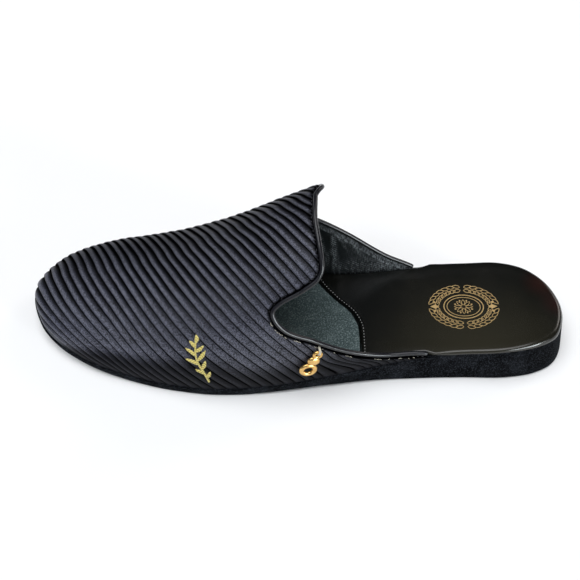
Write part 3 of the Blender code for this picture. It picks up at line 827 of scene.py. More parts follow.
def makeThread(name, dark, light, turns, roughness):
    finish = Finish(name, specular=0.35, sheen=0.2, sheenRoughness=0.4)
    run = finish.value("run")
    fibre = finish.noise(2600.0, 3.0, 0.6)
    # the twist is painted darker between the plies, as shade
    twist = ((run * (2 * math.pi / turns) + fibre * 1.6).sine() * 0.5 + 0.5)
    finish.set("colour", finish.blend(twist * 0.7 + fibre * 0.3, dark, light))
    finish.set("roughness", roughness + (fibre - 0.5) * 0.2)
    finish.set("normal", finish.bump(twist, 0.00012, 0.6))
    return finish.material


finishes = {
    "satin": makeSatin(),
    "piping": makePipingSatin(),
    "suede": makeSuede("SoleSuede", suede["dark"], suede["light"]),
    "sockSuede": makeSuede("SockSuede", suede["sockDark"], suede["sockLight"], 0.8),
    "heelLeather": makeLeather("HeelLeather", leather["heel"], leather["heelWorn"], 0.22, 0.15, 0.12,
                               leather["heelSpotsAndReflections"], coat=0.55, coatIor=1.6, coatRoughness=0.2),
    "liningLeather": makeLeather("LiningLeather", leather["lining"], leather["liningWorn"], 0.30, 0.3,
                                 paintedHighlightColour=leather["liningHighlight"]),
    "castGold": makeCastGold(),
    "foil": makeFoil(),
    "patch": makeLeather("PatchLeather", leather["patch"], leather["patchWorn"], 0.5, 0.5),
}
for name, settings in threads.items():
    finishes[name] = makeThread(name[0].upper() + name[1:], *settings)
print("finishes made")

upperShape = {
    "rows": 92,
    "dome": 400,          # columns round the toe
    # where the columns lie across one pleat
    "phases": (0.0, 0.05, 0.14, 0.27, 0.41, 0.55, 0.67, 0.76, 0.84, 0.91, 0.96),
    "tuck": 0.7,          # from the middle of the piping down to the edge under it
    "pleatRise": 1.25,
    "pleatSink": 0.70,    # how much of it lies under the last's own surface
    "pleatCrest": 0.74,   # where a pleat is highest
    "unevenness": (0.16, 0.10),
    "ditch": 0.75,        # how deep the cloth sinks beside the piping
    "pucker": 0.10,
    "turnUnder": 0.5,     # how far the lowest row is drawn down behind the suede
    "liningRows": 90,
    "liningBack": 240,
    "liningDome": 60,
}


def upperGrid(rows, back, dome, drop):
    # points, where each lies across the vamp, and vertex numbers with the ridge welded
    outer = loweredKnots(toplineKnots(rows, True), drop, True)
    inner = loweredKnots(toplineKnots(rows, False), drop, False)
    outer = np.vstack([(outer[0][0], 0.0), outer])
    inner = np.vstack([(inner[0][0], 0.0), inner])
    share = np.linspace(0, 1, rows + 1)[:, None]
    t = np.linspace(0, 1, back + 1)[None, :]
    parts, across = [], []
    for knots, side in ((outer, True), (inner, False)):
        x = knots[:, :1] + (last["poleX"] - knots[:, :1]) * t
        s = knots[:, 1:] + (share - knots[:, 1:]) * t
        parts.append(vampPoint(x, s, side))
        across.append((s - 1) if side else (1 - s))
    around = np.linspace(0, 1, dome + 1)[None, 1:-1]
    toe = toePoint(*np.broadcast_arrays(share, around))
    reach = np.where(toe[..., 1] > last["ridgeY"],
                     footY(last["poleX"], True) - last["ridgeY"],
                     footY(last["poleX"], False) - last["ridgeY"])
    level = np.clip(np.abs((toe[..., 1] - last["ridgeY"]) / reach), 0, 1)
    level = np.arccos(level ** (last["squareness"] / 2))
    toeAcross = (1 - level / (math.pi / 2)) * np.where(toe[..., 1] > last["ridgeY"], -1, 1)
    points = np.concatenate([parts[0], toe, parts[1][:, ::-1]], 1)
    across = np.concatenate([across[0], toeAcross, across[1][:, ::-1]], 1)
    index = numbered(*points.shape[:2])
    index[-1, back:back + dome] = index[-1, back]
    index[-1, back + dome:] = index[-1, :back + 1][::-1]
    return points, across, index


def pleatedGrid(rows, dome, drop):
    # the outside of the upper with its columns along the pleats
    poleX = last["poleX"]
    whole = np.arange(math.ceil(pleatRow["number"][0]), math.floor(pleatRow["number"][-1]))
    numbers = (whole[:, None] + np.array(upperShape["phases"])[None, :]).ravel()
    points, around, share, faces = [], [], [], []
    total = 0
    ridge, ends, shares = None, [], []
    for outer in (True, False):
        knots = loweredKnots(toplineKnots(rows, outer), drop, outer)
        knots = np.vstack([(knots[0][0], 0.0), knots])
        knots[:, 1] = np.maximum.accumulate(np.clip(knots[:, 1], 0, 1))
        knots[-1, 1] = 1.0
        index = np.zeros((rows + 1, len(numbers) + 2), int)
        for j, (topX, level) in enumerate(knots):
            a = aroundVamp(level, outer)
            x = pleatX(numbers, a)
            use = (x > topX + 0.06) & (x < poleX - 0.06)
            first = int(np.argmax(use))
            count = int(use.sum())
            if j == rows and ridge is not None:
                index[j] = ridge
                continue
            line = np.r_[topX, x[use], poleX]
            points.append(vampPoint(line, level, outer))
            around.append(np.full(len(line), float(a)))
            share.append(np.full(len(line), level))
            index[j, :first + 1] = total
            index[j, first + 1:first + 1 + count] = total + 1 + np.arange(count)
            index[j, first + 1 + count:] = total + 1 + count
            total += len(line)
        ridge = index[-1]
        ends.append(index[:, -1])
        shares.append(knots[:, 1])
        faces += gridFaces(index) if outer else [f[::-1] for f in gridFaces(index)]
    turn = np.linspace(0, 1, dome + 1)[None, 1:-1]
    level = shares[0][:-1, None] + (shares[1] - shares[0])[:-1, None] * turn
    toe = toePoint(level, np.broadcast_to(turn, level.shape))
    points.append(toe.reshape(-1, 3))
    around.append(aroundToe(toe).ravel())
    share.append(level.ravel())
    inside = numbered(*toe.shape[:2], total)
    inside = np.vstack([inside, np.full(toe.shape[1], ends[0][-1])])
    faces += gridFaces(np.column_stack([ends[0], inside, ends[1]]))
    return np.vstack(points), np.concatenate(around), np.concatenate(share), faces


def packed(points, index, *extras):
    # keeps the used vertices only
    used, flat = np.unique(index, return_inverse=True)
    return [points.reshape(-1, 3)[used], flat.reshape(index.shape)] + [e.reshape(-1)[used] for e in extras]


def outwardNormals(points, faces):
    mesh = bpy.data.meshes.new("probe")
    mesh.from_pydata([tuple(p) for p in points], [], faces)
    normals = np.zeros(len(points) * 3)
    mesh.vertex_normals.foreach_get("vector", normals)
    bpy.data.meshes.remove(mesh)
    normals = normals.reshape(-1, 3)
    middle = np.array([0, last["ridgeY"], 0])
    facing = ((points - middle) * normals * (0, 1, 1)).sum(1).mean()
    return normals if facing > 0 else -normals


def pleatProfile(number, flatness):
    # each pleat climbs from its rear groove, rolls over and drops into the next one
    t = number - np.floor(number)
    crest = upperShape["pleatCrest"]
    climb = np.sin(np.clip(t / crest, 0, 1) * math.pi / 2) ** (0.62 - 0.34 * flatness)
    fall = np.cos(np.clip((t - crest) / (1 - crest), 0, 1) * math.pi / 2) ** (0.55 - 0.2 * flatness)
    return np.where(t < crest, climb, fall)


def pipingLine(count, deep=0.5):
    route = []
    for outer in (True, False):
        half = []
        for x, share in toplineKnots(count, outer):
            here, normal = surfaceFrame(x, share, outer)[:2]
            half.append(here - normal * last["wall"] * deep)
        route.append(half)
    return np.array(route[0] + route[1][:-1][::-1])


vampCreases = table(
    # from (x0, share0) to (x1, share1) on the outer side, half-width and height
    "x0 share0 x1 share1 width rise",
    (147.5, 0.225, 141.5, 0.172, 0.8, 0.55), (145.5, 0.235, 142.5, 0.190, 0.6, 0.35),
    (133.0, 0.158, 124.0, 0.098, 0.7, 0.35), (126.0, 0.082, 112.0, 0.040, 0.9, 0.35),
    (122.0, 0.060, 104.0, 0.024, 0.8, 0.30), (116.0, 0.066, 98.0, 0.026, 0.7, 0.30),
    (104.0, 0.034, 90.0, 0.016, 0.8, 0.35), (98.0, 0.012, 86.0, 0.006, 0.7, 0.25),
)


def creaseRise(points):
    # ridges along short straight lines over the surface
    rise = np.zeros(len(points))
    for x0, share0, x1, share1, width, high in zip(*vampCreases.values()):
        a, b = vampPoint(x0, share0, True), vampPoint(x1, share1, True)
        t = np.clip(((points - a) @ (b - a)) / ((b - a) @ (b - a)), 0, 1)
        gap = np.linalg.norm(points - a - t[:, None] * (b - a), axis=1)
        rise += high * np.exp(-(gap / width) ** 2) * (0.3 + 0.7 * np.sin(t * math.pi))
    return rise


def makeVamp():
    points, around, share, faces = pleatedGrid(upperShape["rows"], upperShape["dome"], upperShape["tuck"])
    normals = outwardNormals(points, faces)
    number = pleatNumber(points[:, 0], around)
    toCord = distanceTo(points, pipingLine(160, 0.35))
    # the pleats are pressed flat where the upper is lasted under
    rim = np.minimum(points[:, 2] - height("edge", points[:, 0]), 40)
    fade = ease(-0.5, 6.5, rim) * 0.75 + 0.25 * ease(0.0, 2.5, rim)
    fade = fade * ease(1.2, 2.8, toCord)
    whole = np.floor(number)
    slow, quick = upperShape["unevenness"]
    unevenness = 1 + slow * np.sin(whole * 2.399) + quick * np.sin(whole * 1.13 + around * 6)
    flatness = ease(-0.15, -0.6, around)
    rise = upperShape["pleatRise"] * unevenness * (pleatProfile(number, flatness) - upperShape["pleatSink"])
    rise = rise * fade * (1 - 0.35 * flatness)
    ditch = -upperShape["ditch"] * (1 - ease(0.9, 2.3, toCord))
    pucker = (upperShape["pucker"] * np.sin(points[:, 0] * 2.3 + points[:, 1] * 2.0)
              * (1 - ease(1.5, 4.5, toCord)))
    pucker = pucker + creaseRise(points) * ease(1.0, 2.0, toCord)
    moved = points + normals * (rise + ditch + pucker)[:, None]
    moved[share == 0, 2] -= upperShape["turnUnder"]
    # seam marks the painted shade in the ditch beside the piping
    mesh = meshOf("vamp", moved, faces, outwards=False,
                  attributes={"pleat": number, "fade": fade, "side": around,
                              "seam": 1 - ease(2.0, 2.9, toCord)})
    piece = addPiece("vamp", mesh, finishes["satin"], "shoe")
    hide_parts("upper")
    print("vamp:", sum(len(f) - 2 for f in faces), "triangles")


lining = {
    # creases along the inner wing: x, share and lean of the middle, half-length, half-width, height
    "creases": table(
        "x share tilt length width rise",
        (130.0, 0.115, 0.10, 0.095, 0.9, 0.75), (126.6, 0.165, 0.75, 0.040, 0.7, 0.45),
        (124.2, 0.175, 0.80, 0.035, 0.7, 0.45), (121.6, 0.180, 0.85, 0.030, 0.7, 0.40),
        (133.2, 0.070, -0.20, 0.050, 0.8, 0.30), (137.0, 0.150, 0.35, 0.080, 1.1, 0.30),
        (141.5, 0.200, 0.30, 0.090, 1.2, 0.25), (127.5, 0.060, 0.25, 0.045, 0.8, 0.30),
        (117.0, 0.110, 0.70, 0.040, 1.0, 0.25), (112.0, 0.075, 0.60, 0.030, 0.9, 0.22),
    ),
    "pucker": 0.26,
    "puckerAt": (0.035, 0.028),    # share at the middle of their band, and its half-width
    "slack": 0.12,
    "limits": (-0.6, 1.2),
    "thinner": 0.15,               # how far the lining lies inside the CAD wall
    # painted highlights and reflection towards the rear, along the turned-in edge and at the fold ends
    "rearHighlight": 0.26,
    "edgeHighlight": 0.30,
    "foldHighlight": 0.45,
}


def liningFolds(x, across, toCord):
    # creases and the short puckers along the foot of the inner wing, and how much painted highlight each
    # place gets
    share = 1 - np.abs(across)
    rise = np.zeros_like(x)
    # the second value is painted highlight: on the creases and puckers, towards the rear, along the
    # turned-in edge and at the fold ends
    shine = np.zeros_like(x)
    for cx, cs, tilt, length, width, high in zip(*lining["creases"].values()):
        along = (share - cs) / length
        off = (x - cx - tilt * (share - cs) * 100) / width
        rise += high * np.exp(-off ** 2 - along ** 2) - 0.5 * high * np.exp(-(off - 1.9) ** 2 - along ** 2)
        shine += 1.8 * high * np.exp(-((off + 0.35) * 2.4) ** 2 - along ** 2)
    wave = np.sin(x * 1.9 + share * 60 + 1.5 * np.sin(x * 0.37))
    middle, spread = lining["puckerAt"]
    where = np.exp(-((share - middle) / spread) ** 2) * ease(88, 94, x) * ease(134, 118, x)
    puckers = wave * lining["pucker"] * where
    slack = np.sin(x * 0.55 + across * 4) + 0.6 * np.sin(x * 1.21 - across * 7 + 1.0)
    slack = slack * lining["slack"] * ease(0.02, 0.2, share)
    rearward = lining["rearHighlight"] * ease(122, 94, x) + 0.08 * np.exp(-((x - 118) / 5) ** 2)
    turnedIn = (lining["edgeHighlight"] * ease(1.4, 2.2, toCord) * ease(4.4, 4.0, toCord)
                + 0.5 * np.exp(-((toCord - 4.4) / 0.3) ** 2))
    foldEnds = (np.maximum(np.sin(x * 2.6 + toCord * 0.5), 0) ** 4 * np.exp(-((toCord - 5.6) / 1.3) ** 2)
                * ease(136, 128, x) * ease(112, 119, x))
    shine = shine + 0.9 * np.maximum(wave, 0) ** 5 * where + rearward + turnedIn
    shine = shine + lining["foldHighlight"] * foldEnds
    shine = np.clip(shine, 0, 1)
    return (rise + puckers + slack) * (across > 0) + 0.5 * slack * (across <= 0), shine * (across > 0)


def makeLining():
    points, across, index = upperGrid(upperShape["liningRows"], upperShape["liningBack"],
                                      upperShape["liningDome"], upperShape["tuck"])
    share = np.repeat(np.linspace(0, 1, len(points))[:, None], points.shape[1], 1)
    points, index, across, share = packed(points, index, across, share)
    normals = outwardNormals(points, gridFaces(index))
    folds, shine = liningFolds(points[:, 0], across, distanceTo(points, pipingLine(160)))
    inside = last["wall"] - lining["thinner"]
    moved = points - normals * (inside + np.clip(folds, *lining["limits"]))[:, None]
    moved[share == 0, 2] -= upperShape["turnUnder"]
    mesh = meshOf("lining", moved, [f[::-1] for f in gridFaces(index)], outwards=False,
                  attributes={"shine": shine})
    piece = addPiece("lining", mesh, finishes["liningLeather"], "shoe")
    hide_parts("upper")
    print("lining:", len(mesh.polygons), "faces")


def makePiping():
    route = pipingLine(piping["knots"])
    radius = piping["radius"] * (1 + 0.015 * np.sin(np.arange(len(route)) * 1.7))
    points, faces, run = tube(route, radius, 20)
    mesh = meshOf("piping", points, faces, attributes={"run": run})
    piece = addPiece("piping", mesh, finishes["piping"], "shoe")
    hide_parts("topline_piping")
    print("piping:", len(mesh.polygons), "faces")


# length, gap and rise of the stitches of each row, and how far below the topline three of them run
stitches = {"ditch": (1.5, 0.9, 0.12), "lining": (0.9, 0.8, 0.2), "sock": (0.7, 1.3, 0.3)}
stitchDrop = {"ditch": 1.7, "frayed": 2.35, "lining": 2.4}


def toplineRow(drop, depth, count=160):
    # a path beside the piping on the outside (depth 0) or the lining side of the upper
    path, normals = [], []
    for outer in (True, False):
        knots = loweredKnots(toplineKnots(count, outer), drop, outer)
        half = []
        for x, share in knots:
            here, normal = surfaceFrame(x, min(share, 0.999), outer)[:2]
            half.append((here - normal * depth, normal if depth == 0 else -normal))
        if not outer:
            half = half[:-1][::-1]
        path += [h[0] for h in half]
        normals += [h[1] for h in half]
    return np.array(path), np.array(normals)


def frayedLines(path, normals):
    # dashes of uneven length with uneven gaps, each drifting a little off the path
    run = runAlong(path)
    lines, at, k = [], 0.8, 0
    while at < run[-1] - 3:
        length = 0.5 + 1.5 * (math.sin(k * 2.4) * 0.5 + 0.5) ** 2
        where = at + np.linspace(0, length, 6)
        centre, up = sample(where, run, path), unit(sample(where, run, normals))
        side = unit(np.cross(up, np.gradient(centre, axis=0)))
        drift = (0.16 * np.sin(where * 3.1 + k) + 0.14 * math.sin(k * 1.7))[:, None]
        lines.append(centre + up * 0.02 + side * drift)
        at += length + 0.35 + 2.2 * (math.sin(k * 1.3 + 1.0) * 0.5 + 0.5) ** 3
        k += 1
    return lines


def makeToplineStitches():
    path, normals = toplineRow(stitchDrop["ditch"], 0.0)
    lines = stitchLines(path - normals * 0.45, normals, *stitches["ditch"])
    addStitches("ditchStitches", lines, 0.16, "blackThread")
    # frayed ends of the closing thread, from the throat to the end of the outer wing
    path, normals = toplineRow(stitchDrop["frayed"], 0.0, 260)
    keep = (path[:, 0] > 84) & (np.arange(len(path)) < np.argmax(path[:len(path) // 2, 0]) - 8)
    lines = frayedLines(path[keep], normals[keep])
    addStitches("frayedThread", lines, 0.13, "paleThread")
    path, normals = toplineRow(stitchDrop["lining"], last["wall"] - lining["thinner"])
    lines = stitchLines(path, normals, *stitches["lining"])
    addStitches("liningStitches", lines, 0.2, "blackThread")
    print("topline stitched")


soleShape = {
    "across": 12,
    # set-in and rise
    "bottomRound": [(1.9, 0.0), (1.25, 0.06), (0.7, 0.22), (0.3, 0.52), (0.08, 0.95), (0.0, 1.4)],
    "wallSteps": 8,
    "topRound": [(0.0, -0.8), (0.06, -0.45), (0.22, -0.18), (0.5, -0.03), (0.95, 0.0)],
}


def rimRoll(x):
    # how far the heel's leather rolls down to the suede, tightest along the sides
    (much, *where), (more, *there) = sockShape["tighter"], sockShape["tighterStill"]
    return sockShape["rimRadius"] - much * ease(*where, x) - more * ease(*there, x)


def suedeTop(x):
    # the suede is drawn up to the leather behind the wings
    return height("edge", x) + (sockShape["rimRadius"] - rimRoll(x)) * ease(79.5, 73, x)


def makeSole():
    count = len(soleEdge)
    half = count // 2
    levels = []
    for inset, rise in soleShape["bottomRound"]:
        ring = insetEdge(inset)
        levels.append(np.c_[ring, height("ground", ring[:, 0]) + rise])
    low, high = insetEdge(0.0), insetEdge(0.0, "lean")
    bottom = height("ground", low[:, 0]) + soleShape["bottomRound"][-1][1]
    top = suedeTop(high[:, 0]) + soleShape["topRound"][0][1]
    for k in range(1, soleShape["wallSteps"]):
        t = k / soleShape["wallSteps"]
        ring = low + (high - low) * t
        levels.append(np.c_[ring, bottom + (top - bottom) * t])
    for inset, rise in soleShape["topRound"]:
        ring = insetEdge(inset, "lean")
        levels.append(np.c_[ring, suedeTop(ring[:, 0]) + rise])
    points = [np.vstack(levels)]
    index = numbered(len(levels), count)
    faces = gridFaces(index, closed=True)
    total = len(levels) * count
    for level, column in ((0, "ground"), (len(levels) - 1, "edge")):
        # cross-lines from the outer half to the inner half of the ring close the top and bottom
        ring = levels[level]
        cap = np.zeros((half - 1, soleShape["across"] + 1), int)
        for i in range(1, half):
            left, right = ring[i], ring[count - i]
            t = np.linspace(0, 1, soleShape["across"] + 1)[1:-1, None]
            line = left + (right - left) * t
            line[:, 2] = suedeTop(line[:, 0]) if column == "edge" else height(column, line[:, 0])
            cap[i - 1] = np.r_[index[level][i], total + np.arange(len(line)), index[level][count - i]]
            points.append(line)
            total += len(line)
        faces += gridFaces(cap)
        faces.append([int(index[level][0])] + [int(c) for c in cap[0][::-1]])
        faces.append([int(index[level][half])] + [int(c) for c in cap[-1]])
    mesh = meshOf("sole", np.vstack(points), faces)
    piece = addPiece("sole", mesh, finishes["suede"], "shoe")
    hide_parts("outsole")
    print("sole:", len(mesh.polygons), "faces")


sockShape = {
    "rimRadius": 3.1,
    "frontRadius": 0.5,
    # how much tighter the rim rolls, and between which x
    "tighter": (1.5, 8, 42),
    "tighterStill": (0.9, 66, 76),
    "seamRadius": 0.7,
    "seamAt": (113.5, 142.0),      # x of the seam at the outer and the inner edge
    # size, place and half-width of the bead at the seam and of the dip the stitches pull
    "bead": (0.38, 1.05, 0.6),
    "pulled": (0.2, 2.5, 0.5),
    "dish": 0.7,
    "dishMiddle": -0.5, "dishHalf": 31.0, "dishFrom": 6, "dishLong": 110.0,
    "heelRows": 130,
    "frontRows": 70,
    "columns": 64,
}


def seamX(y):
    return follow(sockSeam, "x", y, key="y")


def heelDish(x, y):
    across = np.clip((np.asarray(y) - sockShape["dishMiddle"]) / sockShape["dishHalf"], -1, 1)
    along = np.clip((np.asarray(x) - sockShape["dishFrom"]) / sockShape["dishLong"], 0, 1)
    return sockShape["dish"] * np.cos(across * math.pi / 2) * np.sin(along * math.pi) ** 0.7


def sockGrid(heel, rows):
    columns = sockShape["columns"]
    across = 0.5 - 0.5 * np.cos(np.linspace(0, math.pi, columns + 1))
    outer, inner = (float(sideY(x, side, 0.0, "sock"))
                    for x, side in zip(sockShape["seamAt"], (True, False)))
    shift = -last["gap"] / 2 if heel else last["gap"] / 2
    seam = seamX(outer + (inner - outer) * across) + shift
    bow = seam - seam[0] - (seam[-1] - seam[0]) * across
    tip = (height("sock", 0.0) + 0.05) if heel else last["length"] - height("sock", last["length"]) - 0.05
    grid = np.zeros((rows + 1, columns + 1, 2))
    for i in range(rows + 1):
        t = 1 - math.cos(math.pi / 2 * i / rows) if heel else math.sin(math.pi / 2 * i / rows)
        rear, front = ((tip, tip), (seam[0], seam[-1])) if heel else ((seam[0], seam[-1]), (tip, tip))
        outerX = rear[0] + (front[0] - rear[0]) * t
        innerX = rear[1] + (front[1] - rear[1]) * t
        grid[i, :, 0] = outerX + (innerX - outerX) * across + bow * (t if heel else 1 - t)
        a, b = sideY(outerX, True, 0.0, "sock"), sideY(innerX, False, 0.0, "sock")
        grid[i, :, 1] = a + (b - a) * across
    return grid


def makeSock(name, heel, rows, rimRadius, material, node):
    grid = sockGrid(heel, rows)
    flat = grid.reshape(-1, 2)
    seamRow, tipRow = (grid[-1], grid[0]) if heel else (grid[0], grid[-1])
    border = np.vstack([np.linspace(line[:-1], line[1:], 4).reshape(-1, 2)
                        for line in (tipRow, grid[:, 0], grid[:, -1])])
    toRim = distanceTo(flat, border)
    toSeam = distanceTo(flat, spline(seamRow[::2], 12))

    def rolled(distance, radius):
        d = np.clip(radius - distance, 0, radius)
        return radius - np.sqrt(radius ** 2 - d ** 2)

    rim = rimRoll(flat[:, 0]) if heel else rimRadius
    z = height("footbed", flat[:, 0]) - rolled(toRim, rim) - rolled(toSeam, sockShape["seamRadius"])
    if heel:
        z = z - heelDish(flat[:, 0], flat[:, 1]) * ease(0, 9, toRim)
        # the leather is turned over a bead at the seam and pulled down by the stitches
        for way, (size, middle, spread) in ((1, sockShape["bead"]), (-1, sockShape["pulled"])):
            z = z + way * size * np.exp(-((toSeam - middle) / spread) ** 2)
    top = np.c_[flat, z]
    index = numbered(*grid.shape[:2])
    ring = np.r_[index[0], index[1:, -1], index[-1, :-1][::-1], index[1:-1, 0][::-1]]
    skirt = top[ring].copy()
    skirt[:, 2] = height("edge", skirt[:, 0]) + 0.1
    base = len(top) + np.arange(len(ring))
    faces = gridFaces(index) + gridFaces(np.vstack([ring, base]), closed=True) + [base.tolist()]
    mesh = meshOf(name, np.vstack([top, skirt]), faces)
    mesh.set_sharp_from_angle(angle=math.radians(last["sharp"]))
    piece = addPiece(name, mesh, material, "shoe")
    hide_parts(node)
    print(name + ":", len(mesh.polygons), "faces")
    return piece


def makeSeamStitches():
    y = np.linspace(31.5, -27.5, 120)
    x = seamX(y) - 2.4
    path = np.c_[x, y, height("footbed", x) - heelDish(x, y) + 0.02]
    normals = np.tile((0.0, 0.0, 1.0), (len(path), 1))
    lines = stitchLines(path - normals * 0.1, normals, *stitches["sock"])
    addStitches("sockStitches", lines, 0.26, "greyThread", sides=8)
    print("sock seam stitched:", len(lines))


# the bare patch under the waist
patch = {
    "centre": (160.0, 0.0),
    "size": (22.0, 11.0),
    "corner": 1.6,
    "thick": 0.35,
    "sharp": 40,
}


def makePatch():
    centre, size, corner, thick = (patch[key] for key in ("centre", "size", "corner", "thick"))
    loop = []
    for sx, sy, start in ((1, 1, 0), (-1, 1, 90), (-1, -1, 180), (1, -1, 270)):
        for k in range(7):
            a = math.radians(start + k * 15)
            loop.append((centre[0] + sx * (size[0] / 2 - corner) + corner * math.cos(a),
                         centre[1] + sy * (size[1] / 2 - corner) + corner * math.sin(a)))
    loop = np.array(loop)
    rings = []
    for inset, drop in ((0.0, -0.2), (0.0, thick - 0.12), (0.14, thick), (3.0, thick)):
        ring = loop + unit(centre - loop) * inset
        rings.append(np.c_[ring, height("ground", ring[:, 0]) - drop])
    index = numbered(len(rings), len(loop))
    faces = gridFaces(index, closed=True) + [index[0].tolist(), index[-1].tolist()]
    mesh = meshOf("solePatch", np.vstack(rings), faces)
    mesh.set_sharp_from_angle(angle=math.radians(patch["sharp"]))
    addPiece("solePatch", mesh, finishes["patch"], "shoe")


medallion = {
    "centre": (57.3, 0.6),
    "reach": (15.6, 12.6),     # half-axes of the ring of leaves
    "leaves": 7,               # in each row of a quarter
    "leafLength": 4.6,
    "leafWidth": 2.5,
    "line": 0.36,
    "thick": 0.05,
    "leafRows": ((0.94, -0.26), (1.10, 0.24)),     # where each row lies in the ring, and its lean
    "ovals": ((10.4, 8.0, 1.5), (8.8, 6.4, 1.0)),  # half-axes, and width in lines
    "petals": 8,
    "petal": (4.2, 2.0),
    "seed": (1.3, 0.9),
    "seedAt": (4.2, 3.8),
    "lozenge": [(13.2, 0.0), (15.4, -1.5), (18.2, 0.0), (15.4, 1.5)],
    "studAt": (15.9, 3.1),
    "stud": 0.75,
}


def makeMedallion():
    # an oval with a rosette in a closed ring of outlined leaves, the same to front and rear
    shapes = []
    a, b = medallion["reach"]

    def leaf(base, angle, length, width):
        t = np.linspace(0, 1, 9)
        half = width / 2 * np.sin(math.pi * t ** 0.85) ** 0.8
        side = np.r_[half, -half[1:-1][::-1]]
        run = np.r_[t, t[1:-1][::-1]] * length
        c, s = math.cos(angle), math.sin(angle)
        return np.c_[base[0] + run * c - side * s, base[1] + run * s + side * c]

    def outline(loop, wide):
        # a line of even width along a closed loop
        along = unit(np.roll(loop, -1, axis=0) - np.roll(loop, 1, axis=0))
        inside = loop + np.stack([-along[:, 1], along[:, 0]], 1) * wide
        for k in range(len(loop)):
            n = (k + 1) % len(loop)
            shapes.append(np.array([loop[k], loop[n], inside[n], inside[k]]))

    def oval(rx, ry, wide):
        turn = np.linspace(0, 2 * math.pi, 73)[:-1]
        outline(np.c_[rx * np.cos(turn), ry * np.sin(turn)], -wide)

    for side in (1, -1):
        for end in (1, -1):
            for k in range(medallion["leaves"]):
                # from the middle of each long side out to the ends
                turn = side * math.radians(90 - end * (3 + 66 * k / (medallion["leaves"] - 1)))
                way = math.atan2(-side * end * b * math.cos(turn), side * end * a * math.sin(turn))
                for reach, lean in medallion["leafRows"]:
                    base = np.array([a * math.cos(turn), b * math.sin(turn)]) * reach
                    drawn = leaf(base, way + side * end * lean, medallion["leafLength"],
                                 medallion["leafWidth"])
                    outline(drawn[::-1], medallion["line"])
    for rx, ry, wide in medallion["ovals"]:
        oval(rx, ry, medallion["line"] * wide)
    seedX, seedY = medallion["seedAt"]
    for k in range(medallion["petals"]):
        angle = k * 2 * math.pi / medallion["petals"]
        petal = leaf((math.cos(angle), math.sin(angle)), angle, *medallion["petal"])
        outline(petal[::-1], medallion["line"] * 0.8)
        between = angle + math.pi / medallion["petals"]
        seedBase = (seedX * math.cos(between), seedY * math.sin(between))
        shapes.append(leaf(seedBase, between, *medallion["seed"]))
    studX, studY = medallion["studAt"]
    turn = np.linspace(0, 2 * math.pi, 13)[:-1]
    stud = np.c_[np.cos(turn), np.sin(turn)] * medallion["stud"]
    for end in (1, -1):
        # a lozenge between two studs closes the ring at each end
        shapes.append(np.array(medallion["lozenge"][::end]) * (end, 1))
        for side in (1, -1):
            shapes.append(stud + (end * studX, side * studY))
    points, faces = [], []
    count = 0
    for shape in shapes:
        plan = shape + medallion["centre"]
        z = height("footbed", plan[:, 0]) - heelDish(plan[:, 0], plan[:, 1])
        n = len(plan)
        points += [np.c_[plan, z - 0.03], np.c_[plan, z + medallion["thick"]]]
        faces.append([count + n + k for k in range(n)])
        faces.append([count + k for k in range(n)][::-1])
        for k in range(n):
            ahead = (k + 1) % n
            faces.append([count + k, count + ahead, count + n + ahead, count + n + k])
        count += 2 * n
    mesh = meshOf("medallion", np.vstack(points), faces, smooth=False)
    addPiece("medallion", mesh, finishes["foil"], "shoe")
    print("medallion:", len(shapes), "shapes")


sprig = {
    "centre": (197.0, 0.235),   # x and share on the outer side
    "stem": [(-1.5, -13.0), (-0.6, -7.0), (0.8, -1.0), (0.6, 5.0), (-1.0, 11.0)],
    "leafLength": 6.4,
    "leafWidth": 2.4,
    # each leaf: place on the stem, side and length
    "leaves": [(0.10, 1, 0.7), (0.22, -1, 0.85), (0.34, 1, 1.0), (0.46, -1, 1.25), (0.57, 1, 1.35),
               (0.68, -1, 1.15), (0.79, 1, 0.95), (0.88, -1, 0.8), (0.99, 0, 0.8)],
    "lean": 48,
    "grid": (22, 9),
    "thick": 0.75,
    "lift": 0.30,
    "stemRadius": (0.62, 0.42),
}


def sprigPoint(a, b, lift):
    # a runs towards the toe and b up the vamp, in millimetres on the surface
    x0, share0 = sprig["centre"]
    along, across = surfaceFrame(x0, share0, True)[2:]
    e1 = unit(along)
    e2 = unit(across - e1 * (across @ e1))
    step = np.linalg.lstsq(np.stack([along, across], 1), e1 * a + e2 * b, rcond=None)[0]
    here, normal = surfaceFrame(x0 + step[0], share0 + step[1], True)[:2]
    return here + normal * lift


